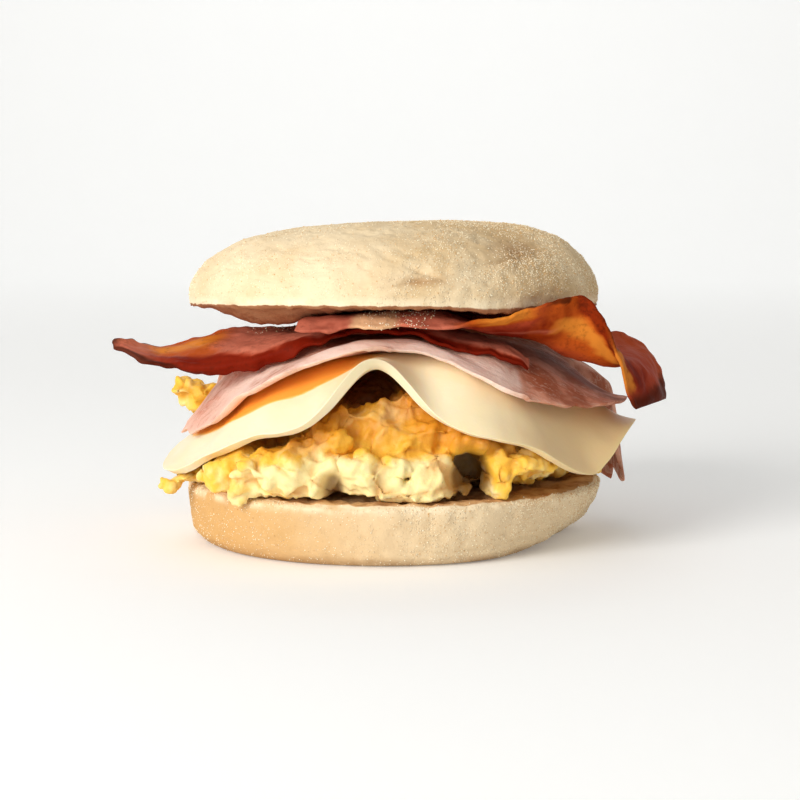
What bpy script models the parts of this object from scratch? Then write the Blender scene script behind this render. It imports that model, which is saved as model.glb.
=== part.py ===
"""A split round white muffin, filled with scrambled egg, cheese, ham and two rashers of bacon.

Metres, +Z up. The origin is the middle of the flat base. The open front faces -Y and +X is to its right.
Every layer is one closed solid, and neighbours keep a small gap where they touch.
"""

import math
import random

import bmesh
import bpy
import numpy as np
from mathutils import Vector, noise

MM = 0.001
TURN = 2 * math.pi

# The two halves of the muffin
LOWER_CENTRE = (-1.2 * MM, -2.4 * MM)
LOWER_RADIUS = 44.8 * MM
LOWER_HEIGHT = 12.9 * MM
LOWER_FOOT_ROUND = 4.0 * MM
LOWER_RIM_ROUND = 1.6 * MM
LID_CENTRE = (-1.6 * MM, 4.0 * MM)
LID_RADIUS = 45.2 * MM
LID_RIM_Z = 51.6 * MM
LID_CROWN = 18.2 * MM
LID_SHOULDER_POWER = 4.4
LID_LEAN = 0.03
LID_TILT = 0.045
LID_HANG = 3.4 * MM
LID_HANG_AT = (-28 * MM, -22 * MM)
LID_HANG_REACH = 15 * MM
BREAD_STEPS = 54

# The sheets, all named by the line half way through their thickness
TOUCH_GAP = 0.45 * MM
CHEESE_THICK = 2.1 * MM
HAM_THICK = 1.7 * MM
BACON_THICK = 1.5 * MM
DOME_CENTRE = (-2.0 * MM, 4.0 * MM)
DOME_CREST = 41.7 * MM
DOME_FALL = 8.0 * MM
DOME_HALF = {"left": 34 * MM, "right": 40 * MM, "front": 66 * MM, "back": 60 * MM}
TENT_X = -5.4 * MM
TENT_CREST = 40.7 * MM
TENT_HALF = 8.8 * MM
TENT_ANGLE = math.radians(-98)
FLAP_ANGLE = math.radians(19)
FLAP_HALF = math.radians(13.5)
NOTCH_ANGLE = math.radians(163)
NOTCH_HALF = math.radians(20)
LIP_RISE = 2.2 * MM
SPOKES = 44
SPOKE_CROWDING = 0.42

# The egg heap and its curds
EGG_FOOT_RADIUS = 38.5 * MM
EGG_TOP_RADIUS = 22 * MM
EGG_GAP = 0.9 * MM
EGG_GIVE = 0.05
CURD_ROUGHNESS = 0.34
CURD_SEED = 11


def smooth(low, high, value):
    """0 below low, 1 above high, and an even S between them, whichever of the two is larger."""
    share = np.clip((np.asarray(value, float) - low) / (high - low), 0, 1)
    return share * share * (3 - 2 * share)


def mix(first, second, share):
    return first + (second - first) * share


def curve_through(points, count):
    """A natural cubic spline through the points, spaced by their distances, as count points."""
    points = np.asarray(points, float)
    steps = np.linalg.norm(np.diff(points, axis=0), axis=1)
    at = np.concatenate([[0], np.cumsum(steps)])
    size = len(points)
    system = np.eye(size)
    wanted = np.zeros_like(points)
    for i in range(1, size - 1):
        before, after = steps[i - 1], steps[i]
        system[i, i - 1 : i + 2] = before, 2 * (before + after), after
        wanted[i] = 6 * ((points[i + 1] - points[i]) / after - (points[i] - points[i - 1]) / before)
    bend = np.linalg.solve(system, wanted)
    where = np.linspace(0, at[-1], count)
    index = np.clip(np.searchsorted(at, where, side="right") - 1, 0, size - 2)
    span = steps[index][:, None]
    ahead = (at[index + 1] - where)[:, None]
    behind = (where - at[index])[:, None]
    return (
        (bend[index] * ahead**3 + bend[index + 1] * behind**3) / (6 * span)
        + (points[index] / span - bend[index] * span / 6) * ahead
        + (points[index + 1] / span - bend[index + 1] * span / 6) * behind
    )


def polar(x, y):
    return np.hypot(x, y), np.arctan2(y, x)


def dome_height(x, y):
    """The broad top of the filling, inside the hems."""
    x, y = np.asarray(x, float), np.asarray(y, float)
    side = np.where(x < DOME_CENTRE[0], DOME_HALF["left"], DOME_HALF["right"])
    depth = np.where(y < DOME_CENTRE[1], DOME_HALF["front"], DOME_HALF["back"])
    across = np.abs(x - DOME_CENTRE[0]) / side
    along = np.abs(y - DOME_CENTRE[1]) / depth
    reach = (across**2.4 + along**2.4) ** (1 / 2.4)
    return DOME_CREST - DOME_FALL * reach**2.6


def egg_notch(angle):
    """1 in the direction where a lump of egg bulges out past both slices, fading to 0 beside it."""
    return np.exp(-(((angle - NOTCH_ANGLE) / NOTCH_HALF) ** 2))


def cheese_hem(angle):
    """(distance from the axis, height) of the cheese slice's hem in each direction."""
    front = smooth(0.25, -0.35, np.sin(angle))
    reach = mix(45.5 * MM, 51.2 * MM, front * (0.55 + 0.45 * np.abs(np.cos(angle))))
    reach = reach + 2.2 * MM * np.exp(-(((angle + 0.14) / 0.2) ** 2))
    reach = mix(reach, 40.2 * MM, smooth(0.42, 0.0, np.abs(np.cos(angle))) * front)
    reach = reach - 6.5 * MM * np.exp(-(((angle - 0.5) / 0.52) ** 2))
    corner = np.exp(-(((angle + 2.8) / 0.16) ** 2))
    reach = reach + 1.3 * MM * corner
    x = reach * np.cos(angle)
    away = x - TENT_X
    left_base = (
        19.5 * MM
        + 6.6 * MM * smooth(-38 * MM, -20 * MM, away)
        + 0.12 * np.maximum(away + 20 * MM, 0)
        - 3.0 * MM * smooth(-33 * MM, -42 * MM, away)
    )
    right_base = (
        30.8 * MM
        - 0.22 * away
        - 4.5 * MM * smooth(24 * MM, 38 * MM, x)
        + 12 * MM * smooth(38 * MM, 52 * MM, x)
    )
    base = mix(left_base, right_base, smooth(-4 * MM, 6 * MM, away)) - 0.9 * MM * corner
    tented = base + (TENT_CREST - base) * np.exp(-((away / TENT_HALF) ** 2))
    behind = 22.3 * MM + 2.2 * MM * np.sin(3 * angle + 0.6)
    behind = mix(behind, 30 * MM, egg_notch(angle))
    reach = mix(reach, 37.5 * MM, egg_notch(angle))
    return reach, mix(behind, tented, front)


def cheese_height(x, y):
    """Height of the cheese slice over a point, falling away fast outside its hem."""
    reach, angle = polar(x, y)
    hem, low = cheese_hem(angle)
    start = mix(0.76, 0.58, smooth(0.4, -0.3, np.sin(angle))) * hem
    share = np.clip((reach - start) / (hem - start), 0, 1)
    inside = mix(dome_height(x, y), low, share**1.7)
    return inside - 5 * np.maximum(reach - hem - 1.5 * MM, 0)


def ham_flap(angle):
    """1 where the ham hangs down at the back of the right side, fading to 0 beside it."""
    return np.exp(-(((angle - FLAP_ANGLE) / FLAP_HALF) ** 4))


def ham_hem(angle):
    """(distance from the axis, height) of the ham slice's hem in each direction."""
    front = smooth(0.3, -0.3, np.sin(angle))
    reach = mix(42.5 * MM, 47.6 * MM, front * np.abs(np.cos(angle)) ** 1.5)
    reach = mix(reach, 35.6 * MM, smooth(0.55, 0.0, np.abs(np.cos(angle))) * front)
    flap = ham_flap(angle)
    reach = reach + 2.6 * MM * np.exp(-(((angle + 0.3) / 0.34) ** 2))
    reach = mix(reach, 51.6 * MM, flap)
    x = reach * np.cos(angle)
    away = x + 3 * MM
    left_low = 3.9 * MM * (np.maximum(-away, 0) / (19 * MM)) ** 1.9 + 5.5 * MM * smooth(-32 * MM, -46 * MM, x)
    right_low = 11.0 * MM * (1 - np.exp(-((np.maximum(away, 0) / (24 * MM)) ** 2.6)))
    ahead = 41.4 * MM - left_low - right_low
    behind = 27.8 * MM + 1.5 * MM * np.sin(4 * angle + 1.0)
    behind = mix(behind, 36 * MM, egg_notch(angle))
    reach = mix(reach, 39.5 * MM, egg_notch(angle))
    low = mix(behind, ahead, front)
    return reach, mix(low, 8.6 * MM, flap)


def ham_lip(x, y, hem):
    """How far the ham swells up just behind the middle of its front hem."""
    across = smooth(-27 * MM, -8 * MM, x) * smooth(20 * MM, 0, x) * smooth(-15 * MM, -25 * MM, y)
    return LIP_RISE * across * np.exp(-(((np.hypot(x, y) - hem + 4 * MM) / (3.2 * MM)) ** 2))


def ham_height(x, y):
    """Height of the ham slice: its own drape, held up wherever the cheese is under it."""
    reach, angle = polar(x, y)
    hem, low = ham_hem(angle)
    start = mix(0.8, 0.62, smooth(0.4, -0.3, np.sin(angle))) * hem
    start = mix(start, 0.93 * hem, ham_flap(angle))
    share = np.clip((reach - start) / (hem - start), 0, 1)
    offset = (CHEESE_THICK + HAM_THICK) / 2 + TOUCH_GAP * (1 + 1.5 * smooth(-0.2, 0.3, np.sin(angle)))
    own = mix(dome_height(x, y) + offset, low, share**1.7) + ham_lip(x, y, hem)
    return np.maximum(own, cheese_height(x, y) + offset * slope_factor(cheese_height, x, y))


def slope_factor(height, x, y):
    """How much further apart two sloping sheets stand, measured straight up."""
    step = 0.5 * MM
    rise_x = (height(x + step, y) - height(x - step, y)) / (2 * step)
    rise_y = (height(x, y + step) - height(x, y - step)) / (2 * step)
    return np.sqrt(1 + np.minimum(rise_x**2 + rise_y**2, 6))


def lower_top(x, y):
    """The uneven cut face of the lower half."""
    waves = np.sin(x / (9 * MM) + 0.7) * np.cos(y / (11 * MM)) + 0.6 * np.sin((x + 2 * y) / (6 * MM))
    rim = smooth(0.93 * LOWER_RADIUS, 0.8 * LOWER_RADIUS, np.hypot(x - LOWER_CENTRE[0], y - LOWER_CENTRE[1]))
    return LOWER_HEIGHT + (0.35 * waves - 0.3) * MM * rim


def lid_under(x, y):
    """The cut face of the upper half, which hangs lower inside the left rim."""
    inward = smooth(LID_RADIUS, LID_RADIUS - 9 * MM, np.hypot(x - LID_CENTRE[0], y - LID_CENTRE[1]))
    away = ((x - LID_HANG_AT[0]) ** 2 + (y - LID_HANG_AT[1]) ** 2) / LID_HANG_REACH**2
    waves = 0.25 * MM * np.sin(x / (7 * MM)) * np.sin(y / (8 * MM) + 0.4)
    return LID_RIM_Z + (waves - LID_HANG * np.exp(-away)) * inward - LID_TILT * (y + 0.9 * LID_RADIUS)


def arc(centre, radius, start, end, count):
    """Points of a circular arc, with the angles in degrees."""
    angles = np.radians(np.linspace(start, end, count))
    return [(centre[0] + radius * math.cos(a), centre[1] + radius * math.sin(a)) for a in angles]


def lower_profile():
    """Radius and height of the lower half, from the middle of its cut face to the middle of its base."""
    top = LOWER_HEIGHT
    flat = [(r * LOWER_RADIUS, top) for r in (0, 0.2, 0.4, 0.6, 0.78, 0.9)]
    rim = arc((LOWER_RADIUS - LOWER_RIM_ROUND, top - LOWER_RIM_ROUND), LOWER_RIM_ROUND, 75, 5, 3)
    foot = arc((LOWER_RADIUS - LOWER_FOOT_ROUND, LOWER_FOOT_ROUND), LOWER_FOOT_ROUND, 0, -90, 5)
    return flat + rim + foot + [(0.45 * LOWER_RADIUS, 0), (0, 0)]


def lid_profile():
    """Radius and height of the upper half, from its crown over the shoulder and in along its cut face."""
    dome = []
    for share in (0, 0.25, 0.45, 0.62, 0.76, 0.87, 0.94, 0.98, 1.0):
        fall = (1 - share**LID_SHOULDER_POWER) ** (1 / 1.9)
        gentle = 1.6 * MM * share**2
        dome.append((share * LID_RADIUS, LID_RIM_Z + 2.2 * MM + (LID_CROWN - 2.2 * MM - gentle) * fall))
    rim = [(0.995 * LID_RADIUS, LID_RIM_Z + 0.6 * MM), (0.97 * LID_RADIUS, LID_RIM_Z)]
    inner = [(r * LID_RADIUS, LID_RIM_Z) for r in (0.88, 0.74, 0.55, 0.3, 0)]
    return dome + rim + inner


def bread_bulge(angle):
    """How a hand-shaped muffin strays from a true circle."""
    broad = 0.008 * math.sin(2 * angle + 0.6) + 0.006 * math.sin(3 * angle + 2.0)
    return 1 + broad + 0.004 * math.sin(5 * angle)


def turned_mesh(name, profile, steps):
    """Turns a profile about Z with a Screw modifier and returns the closed mesh."""
    mesh = bpy.data.meshes.new(name + "_profile")
    mesh.from_pydata([(r, 0, z) for r, z in profile], [(i, i + 1) for i in range(len(profile) - 1)], [])
    guide = bpy.data.objects.new(name + "_profile", mesh)
    bpy.context.scene.collection.objects.link(guide)
    screw = guide.modifiers.new("Screw", "SCREW")
    screw.steps = steps
    screw.render_steps = steps
    screw.use_merge_vertices = True
    screw.merge_threshold = 0.02 * MM
    bpy.context.view_layer.update()
    turned = bpy.data.meshes.new_from_object(guide.evaluated_get(bpy.context.evaluated_depsgraph_get()))
    bpy.data.objects.remove(guide)
    return turned


def move_points(mesh, move):
    """Puts every vertex where move says it goes."""
    for vertex in mesh.vertices:
        vertex.co = Vector(move(*vertex.co))
    mesh.update()


def lower_taper(angle):
    """How far the wall draws in at its foot, most of all at the right."""
    right = math.exp(-(((angle + 0.38) / 0.56) ** 2))
    left = math.exp(-(((abs(angle) - math.pi) / 0.8) ** 2))
    back = max(math.sin(angle), 0)
    return (2.0 + 8.0 * right + 2.5 * back - 1.0 * left) * MM


def shape_lower(x, y, z):
    """Lays the cut face uneven, tapers the foot and lets the wall wander from a circle."""
    angle = math.atan2(y, x)
    taper = lower_taper(angle) / LOWER_RADIUS * max(1 - z / LOWER_HEIGHT, 0) ** 1.6
    bulge = bread_bulge(angle) * (1 - taper)
    x, y = x * bulge + LOWER_CENTRE[0], y * bulge + LOWER_CENTRE[1]
    if z > LOWER_HEIGHT - 0.1 * MM:
        z = float(lower_top(x, y))
    return x, y, z


def shape_lid(x, y, z):
    """Leans the crown, presses a soft dent in it and lets the cut face hang on the left."""
    angle = math.atan2(y, x)
    bulge = bread_bulge(angle + 1.9)
    x, y = x * bulge + LID_CENTRE[0], y * bulge + LID_CENTRE[1]
    if z <= LID_RIM_Z + 0.01 * MM:
        return x, y, float(lid_under(x, y))
    share = (z - LID_RIM_Z) / LID_CROWN
    dent = 1.1 * MM * math.exp(-((x - 24 * MM) ** 2 + (y + 22 * MM) ** 2) / (9 * MM) ** 2)
    return x, y, z + share * (LID_LEAN * x - dent) - LID_TILT * (y + 0.9 * LID_RADIUS)


def bread_half(name, profile, shape, material, home):
    mesh = turned_mesh(name, profile, BREAD_STEPS)
    move_points(mesh, shape)
    mesh.shade_smooth()
    return place(name, mesh, material, home)


def spoke_angles(count):
    """Directions round the axis, crowded together where the cheese is pinched up."""
    even = np.linspace(-math.pi, math.pi, count, endpoint=False)
    angles = TENT_ANGLE + even - SPOKE_CROWDING * np.sin(even)
    return (angles + math.pi) % TURN - math.pi


def draped_sheet(name, hem, height, thick, rings, material, home):
    """A round slice as rings and spokes laid over the filling, thickened evenly."""
    angles = spoke_angles(SPOKES)
    reach, low = hem(angles)
    sheet = bmesh.new()
    middle = sheet.verts.new((0, 0, float(height(0.0, 0.0))))
    loops = []
    for share in rings:
        x, y = share * reach * np.cos(angles), share * reach * np.sin(angles)
        z = height(x, y)
        loops.append([sheet.verts.new(point) for point in zip(x, y, z)])
    for i in range(SPOKES):
        after = (i + 1) % SPOKES
        sheet.faces.new((middle, loops[0][i], loops[0][after]))
        for inner, outer in zip(loops, loops[1:]):
            sheet.faces.new((inner[i], outer[i], outer[after], inner[after]))
    mesh = bpy.data.meshes.new(name)
    sheet.to_mesh(mesh)
    sheet.free()
    mesh.shade_smooth()
    made = place(name, mesh, material, home)
    thicken(made, thick)
    return made


def thicken(made, thick):
    solidify = made.modifiers.new("Thickness", "SOLIDIFY")
    solidify.thickness = thick
    solidify.offset = 0
    solidify.use_even_offset = False


# Front edge, keel and back edge of each rasher at each station along it, in millimetres
LEFT_RASHER = (
    ((-59.8, -18.0, 42.2), (-60.6, -16.5, 43.0), (-60.0, -14.5, 43.8)),
    ((-56.4, -19.5, 40.9), (-56.6, -17.0, 41.7), (-56.8, -12.5, 42.9)),
    ((-51.5, -21.5, 39.3), (-51.5, -19.0, 39.7), (-51.0, -9.5, 41.3)),
    ((-46.0, -22.5, 38.0), (-46.0, -23.0, 38.9), (-46.0, -7.5, 42.4)),
    ((-39.0, -24.0, 37.0), (-39.5, -26.0, 39.0), (-39.5, -5.5, 44.2)),
    ((-31.0, -26.5, 38.1), (-32.0, -29.0, 40.6), (-32.0, -5.0, 45.1)),
    ((-25.0, -28.5, 40.1), (-26.0, -30.0, 42.4), (-26.0, -6.0, 45.5)),
    ((-18.0, -30.5, 43.5), (-19.0, -27.0, 44.8), (-19.0, -8.0, 45.4)),
    ((-10.0, -30.5, 45.9), (-10.0, -25.0, 46.5), (-10.0, -9.5, 46.2)),
    ((0.0, -31.0, 45.9), (0.0, -25.0, 46.4), (0.0, -10.0, 46.2)),
    ((8.0, -32.0, 43.9), (8.0, -24.0, 45.6), (8.0, -9.5, 45.9)),
    ((14.5, -31.8, 41.9), (14.5, -25.0, 43.6), (14.5, -15.0, 44.9)),
    ((20.5, -30.6, 39.6), (21.0, -27.5, 41.0), (21.0, -23.8, 42.4)),
    ((26.0, -29.4, 37.8), (26.5, -27.5, 39.2), (26.5, -25.2, 40.6)),
)
RIGHT_RASHER = (
    ((-21.0, -36.6, 47.0), (-20.5, -33.0, 48.4), (-20.0, -12.0, 47.6)),
    ((-12.0, -38.2, 47.6), (-12.0, -34.6, 49.5), (-12.0, -11.0, 48.4)),
    ((0.0, -38.8, 47.9), (0.0, -35.2, 49.8), (0.0, -11.5, 48.6)),
    ((10.0, -38.0, 47.9), (10.0, -33.5, 49.3), (10.0, -11.5, 48.9)),
    ((18.0, -36.4, 48.8), (18.0, -30.0, 45.8), (18.0, -12.0, 49.1)),
    ((22.5, -35.4, 49.8), (22.5, -30.0, 44.8), (23.0, -11.5, 49.1)),
    ((27.0, -34.2, 51.2), (28.3, -27.2, 43.7), (29.0, -10.5, 48.0)),
    ((31.5, -32.8, 52.7), (34.0, -25.3, 39.9), (35.0, -8.5, 44.6)),
    ((35.8, -29.4, 53.3), (39.0, -23.5, 38.2), (41.5, -6.0, 44.1)),
    ((39.2, -29.0, 51.1), (44.0, -21.5, 37.9), (48.5, -3.0, 43.2)),
    ((42.2, -28.5, 46.3), (48.0, -19.0, 38.6), (52.6, -3.0, 40.9)),
    ((44.6, -28.0, 41.3), (51.0, -16.5, 37.1), (55.4, -4.0, 37.6)),
    ((46.8, -27.0, 35.5), (53.0, -16.0, 33.9), (57.0, -5.0, 33.4)),
    ((49.2, -25.5, 29.9), (54.0, -16.0, 30.3), (57.8, -6.0, 30.1)),
)


def rounded_corner(points, count):
    """Evenly spaced points of a bent line whose corner is eased round, as count points."""
    points = np.asarray(points, float)
    at = np.concatenate([[0], np.cumsum(np.linalg.norm(np.diff(points, axis=0), axis=1))])
    reach = 0.16 * at[-1]
    eased = []
    for middle in np.linspace(0, at[-1], count):
        room = min(reach, middle, at[-1] - middle)
        window = middle + room * np.linspace(-1, 1, 9)
        eased.append([float(np.mean(np.interp(window, at, points[:, k]))) for k in range(3)])
    return eased


def settle(x, y, z):
    """Keeps a rasher clear of the ham below it and the lid above it."""
    if math.hypot(x - LID_CENTRE[0], y - LID_CENTRE[1]) < LID_RADIUS + 1.5 * MM:
        z = min(z, float(lid_under(x, y)) - TOUCH_GAP - BACON_THICK / 2)
    reach, angle = polar(x, y)
    hem, _ = ham_hem(angle)
    if reach < hem + 1.0 * MM:
        offset = (HAM_THICK + BACON_THICK) / 2 + TOUCH_GAP
        z = max(z, float(ham_height(x, y) + offset * slope_factor(ham_height, x, y)))
    return x, y, z


def rasher(name, stations, columns, rows, material, home):
    """A strip of bacon: smooth lines through its stations, joined across by smooth sections."""
    edges = np.asarray(stations) * MM
    lines = [curve_through(edges[:, k], columns) for k in range(3)]
    strip = bmesh.new()
    sections = []
    for front, keel, back in zip(*lines):
        points = rounded_corner([front, keel, back], rows)
        sections.append([strip.verts.new(settle(*point)) for point in points])
    for one, other in zip(sections, sections[1:]):
        for k in range(rows - 1):
            strip.faces.new((one[k], other[k], other[k + 1], one[k + 1]))
    mesh = bpy.data.meshes.new(name)
    strip.to_mesh(mesh)
    strip.free()
    mesh.shade_smooth()
    made = place(name, mesh, material, home)
    thicken(made, BACON_THICK)
    return made


# Curds that show in the open front and sides: middle and half sizes, in millimetres
SHOWN_CURDS = (
    ((-24.0, -38.0, 18.4), (9.0, 7.0, 5.4)),
    ((-31.0, -33.5, 16.6), (7.0, 7.6, 4.6)),
    ((-16.0, -41.0, 16.8), (4.6, 5.0, 4.8)),
    ((-19.0, -37.5, 21.4), (6.4, 6.4, 4.6)),
    ((-36.5, -25.5, 16.2), (5.4, 6.4, 3.2)),
    ((-33.0, -29.5, 20.0), (7.5, 8.0, 3.4)),
    ((-7.5, -41.6, 18.4), (5.6, 5.0, 4.4)),
    ((-2.5, -40.6, 20.2), (5.0, 5.2, 3.4)),
    ((-2.0, -43.2, 15.2), (3.8, 3.4, 2.8)),
    ((7.5, -41.0, 18.4), (4.6, 4.6, 4.6)),
    ((5.5, -42.4, 15.4), (4.6, 3.6, 2.8)),
    ((10.5, -39.5, 15.2), (3.6, 4.6, 2.4)),
    ((22.0, -36.0, 20.8), (6.6, 5.4, 3.4)),
    ((19.5, -39.0, 17.4), (3.4, 4.0, 4.2)),
    ((28.0, -31.5, 18.8), (4.6, 5.8, 2.6)),
    ((-12.5, -35.0, 26.6), (5.6, 6.6, 5.4)),
    ((-4.0, -34.5, 26.8), (7.6, 6.2, 5.2)),
    ((2.0, -32.5, 31.4), (3.8, 5.6, 3.6)),
    ((6.5, -34.5, 26.2), (6.8, 6.0, 4.2)),
    ((-16.0, -37.0, 23.6), (5.0, 5.8, 4.4)),
    ((-9.4, -31.5, 28.6), (3.8, 5.6, 3.0)),
    ((13.5, -36.0, 23.8), (5.6, 5.2, 3.0)),
    ((-44.0, -14.0, 15.6), (5.6, 6.5, 2.8)),
    ((-48.2, -18.5, 14.0), (2.2, 2.6, 2.4)),
    ((-36.0, 12.5, 22.5), (7.5, 7.0, 5.4)),
    ((-43.5, 13.5, 27.5), (5.4, 5.4, 4.4)),
    ((-48.0, 14.5, 29.8), (3.6, 3.8, 3.4)),
)
HIDDEN_RING = ((13, 37.5, 17.5, 5.6), (8, 33.0, 24.0, 4.6))


def under_cheese(x, y, spare):
    """The highest that egg may reach below the cheese, eased off outside the cheese's hem."""
    reach, angle = polar(x, y)
    hem, low = cheese_hem(angle)
    outside = float(reach - hem)
    if outside > 0:
        shrink = float(hem / reach)
        inner = float(cheese_height(x * shrink, y * shrink))
        return inner + 0.9 * outside - CHEESE_THICK / 2 - 1.6 * spare
    factor = float(slope_factor(cheese_height, x, y))
    return float(cheese_height(x, y)) - (CHEESE_THICK / 2 + spare) * factor


def press(mesh, spare):
    """Flattens egg against the bread below and the cheese above."""
    for vertex in mesh.vertices:
        x, y, z = vertex.co
        ceiling = under_cheese(x, y, spare)
        floor = LOWER_HEIGHT + 0.4 * MM + 0.5 * spare
        if math.hypot(x - LOWER_CENTRE[0], y - LOWER_CENTRE[1]) > LOWER_RADIUS + 1.3 * MM:
            floor = 10 * MM
        if ceiling < floor:
            ceiling = floor = (ceiling + floor) / 2
        inside = min(max(z, floor), ceiling)
        vertex.co.z = inside + EGG_GIVE * (z - inside)


def curd(index, middle, half, spare):
    """One lumpy curd, pressed to fit its place."""
    lump = bmesh.new()
    bmesh.ops.create_icosphere(lump, subdivisions=2, radius=1)
    for vertex in lump.verts:
        swell = 1 + CURD_ROUGHNESS * noise.noise(vertex.co * 1.7 + Vector((index * 7.3, 0, 0)))
        vertex.co = Vector(middle) + Vector(h * c * swell for h, c in zip(half, vertex.co))
    mesh = bpy.data.meshes.new(f"curd_{index}")
    lump.to_mesh(mesh)
    lump.free()
    press(mesh, spare)
    return bpy.data.objects.new(f"curd_{index}", mesh)


def curd_places():
    """The curds that show, then rings of others by a seeded rule."""
    for middle, half in SHOWN_CURDS:
        yield [m * MM for m in middle], [h * MM for h in half]
    draw = random.Random(CURD_SEED)
    for count, reach, height, size in HIDDEN_RING:
        for k in range(count):
            angle = TURN * (k + draw.uniform(-0.25, 0.25)) / count
            if math.sin(angle) < -0.35:
                continue
            out = (reach + draw.uniform(-1.5, 1.5)) * MM
            middle = (out * math.cos(angle), out * math.sin(angle), (height + draw.uniform(-1.2, 1.2)) * MM)
            yield middle, [size * draw.uniform(0.8, 1.25) * MM for _ in range(3)]


def egg_profile():
    """The smaller core of the heap, from its top down its side and in along its foot."""
    heights = (38, 37, 35, 32, 28, 23, 18, 15.8, 14.5)
    shares = (0, 0.4, 0.85, 1.22, 1.48, 1.62, 1.72, 1.76, 1.72)
    side = [(share * EGG_TOP_RADIUS, height * MM) for share, height in zip(shares, heights)]
    return side + [(0.5 * EGG_FOOT_RADIUS, 14.5 * MM), (0, 14.5 * MM)]


def keep_largest(mesh):
    """Drops loose scraps and the skins of sealed hollows."""
    whole = bmesh.new()
    whole.from_mesh(mesh)
    left = set(whole.faces)
    bodies = []
    while left:
        body = set()
        edge = [left.pop()]
        while edge:
            face = edge.pop()
            body.add(face)
            near = {other for side in face.edges for other in side.link_faces} & left
            left -= near
            edge.extend(near)
        bodies.append(body)
    largest = max(bodies, key=len)
    loose = [face for face in whole.faces if face not in largest]
    bmesh.ops.delete(whole, geom=loose, context="FACES")
    whole.to_mesh(mesh)
    whole.free()
    mesh.shade_smooth()


def egg_heap(name, material, home):
    """The core with every curd fused to it by one Boolean union."""
    mesh = turned_mesh(name, egg_profile(), 28)
    for vertex in mesh.vertices:
        swell = 1 + 0.05 * noise.noise(vertex.co / (9 * MM))
        vertex.co.x *= swell
        vertex.co.y = vertex.co.y * swell - 1.5 * MM
    press(mesh, 1.2 * MM)
    heap = place(name, mesh, material, home)
    curds = bpy.data.collections.new("curds")
    bpy.context.scene.collection.children.link(curds)
    for index, (middle, half) in enumerate(curd_places()):
        curds.objects.link(curd(index, middle, half, EGG_GAP + 0.017 * MM * (index * 7 % 31)))
    union = heap.modifiers.new("Fuse", "BOOLEAN")
    union.operation = "UNION"
    union.operand_type = "COLLECTION"
    union.collection = curds
    union.solver = "EXACT"
    bpy.context.view_layer.update()
    fused = bpy.data.meshes.new_from_object(heap.evaluated_get(bpy.context.evaluated_depsgraph_get()))
    heap.modifiers.clear()
    keep_largest(fused)
    heap.data = fused
    fused.materials.clear()
    fused.materials.append(material)
    for loose in list(curds.objects):
        bpy.data.objects.remove(loose)
    bpy.data.collections.remove(curds)
    return heap


def finish(name, colour, roughness):
    made = bpy.data.materials.new(name)
    made.use_nodes = True
    shader = made.node_tree.nodes["Principled BSDF"]
    shader.inputs["Base Color"].default_value = (*colour, 1)
    shader.inputs["Roughness"].default_value = roughness
    shader.inputs["Metallic"].default_value = 0
    return made


def place(name, mesh, material, home):
    made = bpy.data.objects.new(name, mesh)
    mesh.materials.clear()
    mesh.materials.append(material)
    home.objects.link(made)
    return made


def main():
    for old in list(bpy.data.objects):
        bpy.data.objects.remove(old)
    home = bpy.data.collections.new("filled_muffin")
    bpy.context.scene.collection.children.link(home)
    crust = finish("crust", (0.76, 0.62, 0.41), 0.85)
    egg = finish("egg", (0.86, 0.58, 0.16), 0.5)
    cheese = finish("cheese", (0.89, 0.76, 0.47), 0.4)
    ham = finish("ham", (0.78, 0.47, 0.41), 0.45)
    bacon = finish("bacon", (0.42, 0.10, 0.05), 0.35)
    bread_half("lower_half", lower_profile(), shape_lower, crust, home)
    bread_half("upper_half", lid_profile(), shape_lid, crust, home)
    egg_heap("scrambled_egg", egg, home)
    rings = (0.2, 0.4, 0.56, 0.68, 0.78, 0.86, 0.93, 1.0)
    draped_sheet("cheese_slice", cheese_hem, cheese_height, CHEESE_THICK, rings, cheese, home)
    ham_rings = (0.2, 0.4, 0.56, 0.68, 0.78, 0.86, 0.93, 0.955, 0.978, 1.0)
    draped_sheet("ham_slice", ham_hem, ham_height, HAM_THICK, ham_rings, ham, home)
    rasher("bacon_left", LEFT_RASHER, 26, 7, bacon, home)
    rasher("bacon_right", RIGHT_RASHER, 34, 8, bacon, home)


main()
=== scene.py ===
"""Looks of a split round muffin filled with scrambled egg, cheese, ham and two rashers of bacon.

Metres, +Z up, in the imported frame: the origin is on the flat base, the open front faces -Y, and +X is to the
right of that front.
"""

from __future__ import annotations

import logging
import math
import random
from collections.abc import Sequence
from dataclasses import dataclass, field
from enum import Enum

import bpy
import numpy as np
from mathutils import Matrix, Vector, noise

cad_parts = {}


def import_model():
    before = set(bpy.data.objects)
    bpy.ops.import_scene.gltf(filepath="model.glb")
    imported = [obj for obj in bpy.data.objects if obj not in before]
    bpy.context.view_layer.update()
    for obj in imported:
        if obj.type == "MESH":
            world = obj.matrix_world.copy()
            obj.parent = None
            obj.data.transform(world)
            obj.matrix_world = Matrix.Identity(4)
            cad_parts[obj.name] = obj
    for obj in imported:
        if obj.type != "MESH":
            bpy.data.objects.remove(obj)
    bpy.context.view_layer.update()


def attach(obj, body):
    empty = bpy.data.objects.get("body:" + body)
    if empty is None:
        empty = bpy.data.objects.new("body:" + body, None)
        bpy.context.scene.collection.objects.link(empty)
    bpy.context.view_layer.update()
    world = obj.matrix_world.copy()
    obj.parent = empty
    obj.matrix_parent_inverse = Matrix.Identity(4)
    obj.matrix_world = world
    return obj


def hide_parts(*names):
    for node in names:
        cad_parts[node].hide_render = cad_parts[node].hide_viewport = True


MM = 0.001
MM_PER_METRE = 1000.0
TINY = 1e-12
TURN = 2 * math.pi
Array = np.ndarray
Colour = tuple[float, float, float]
Point = tuple[float, float, float]
Station = tuple[Point, Point, Point]

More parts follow.
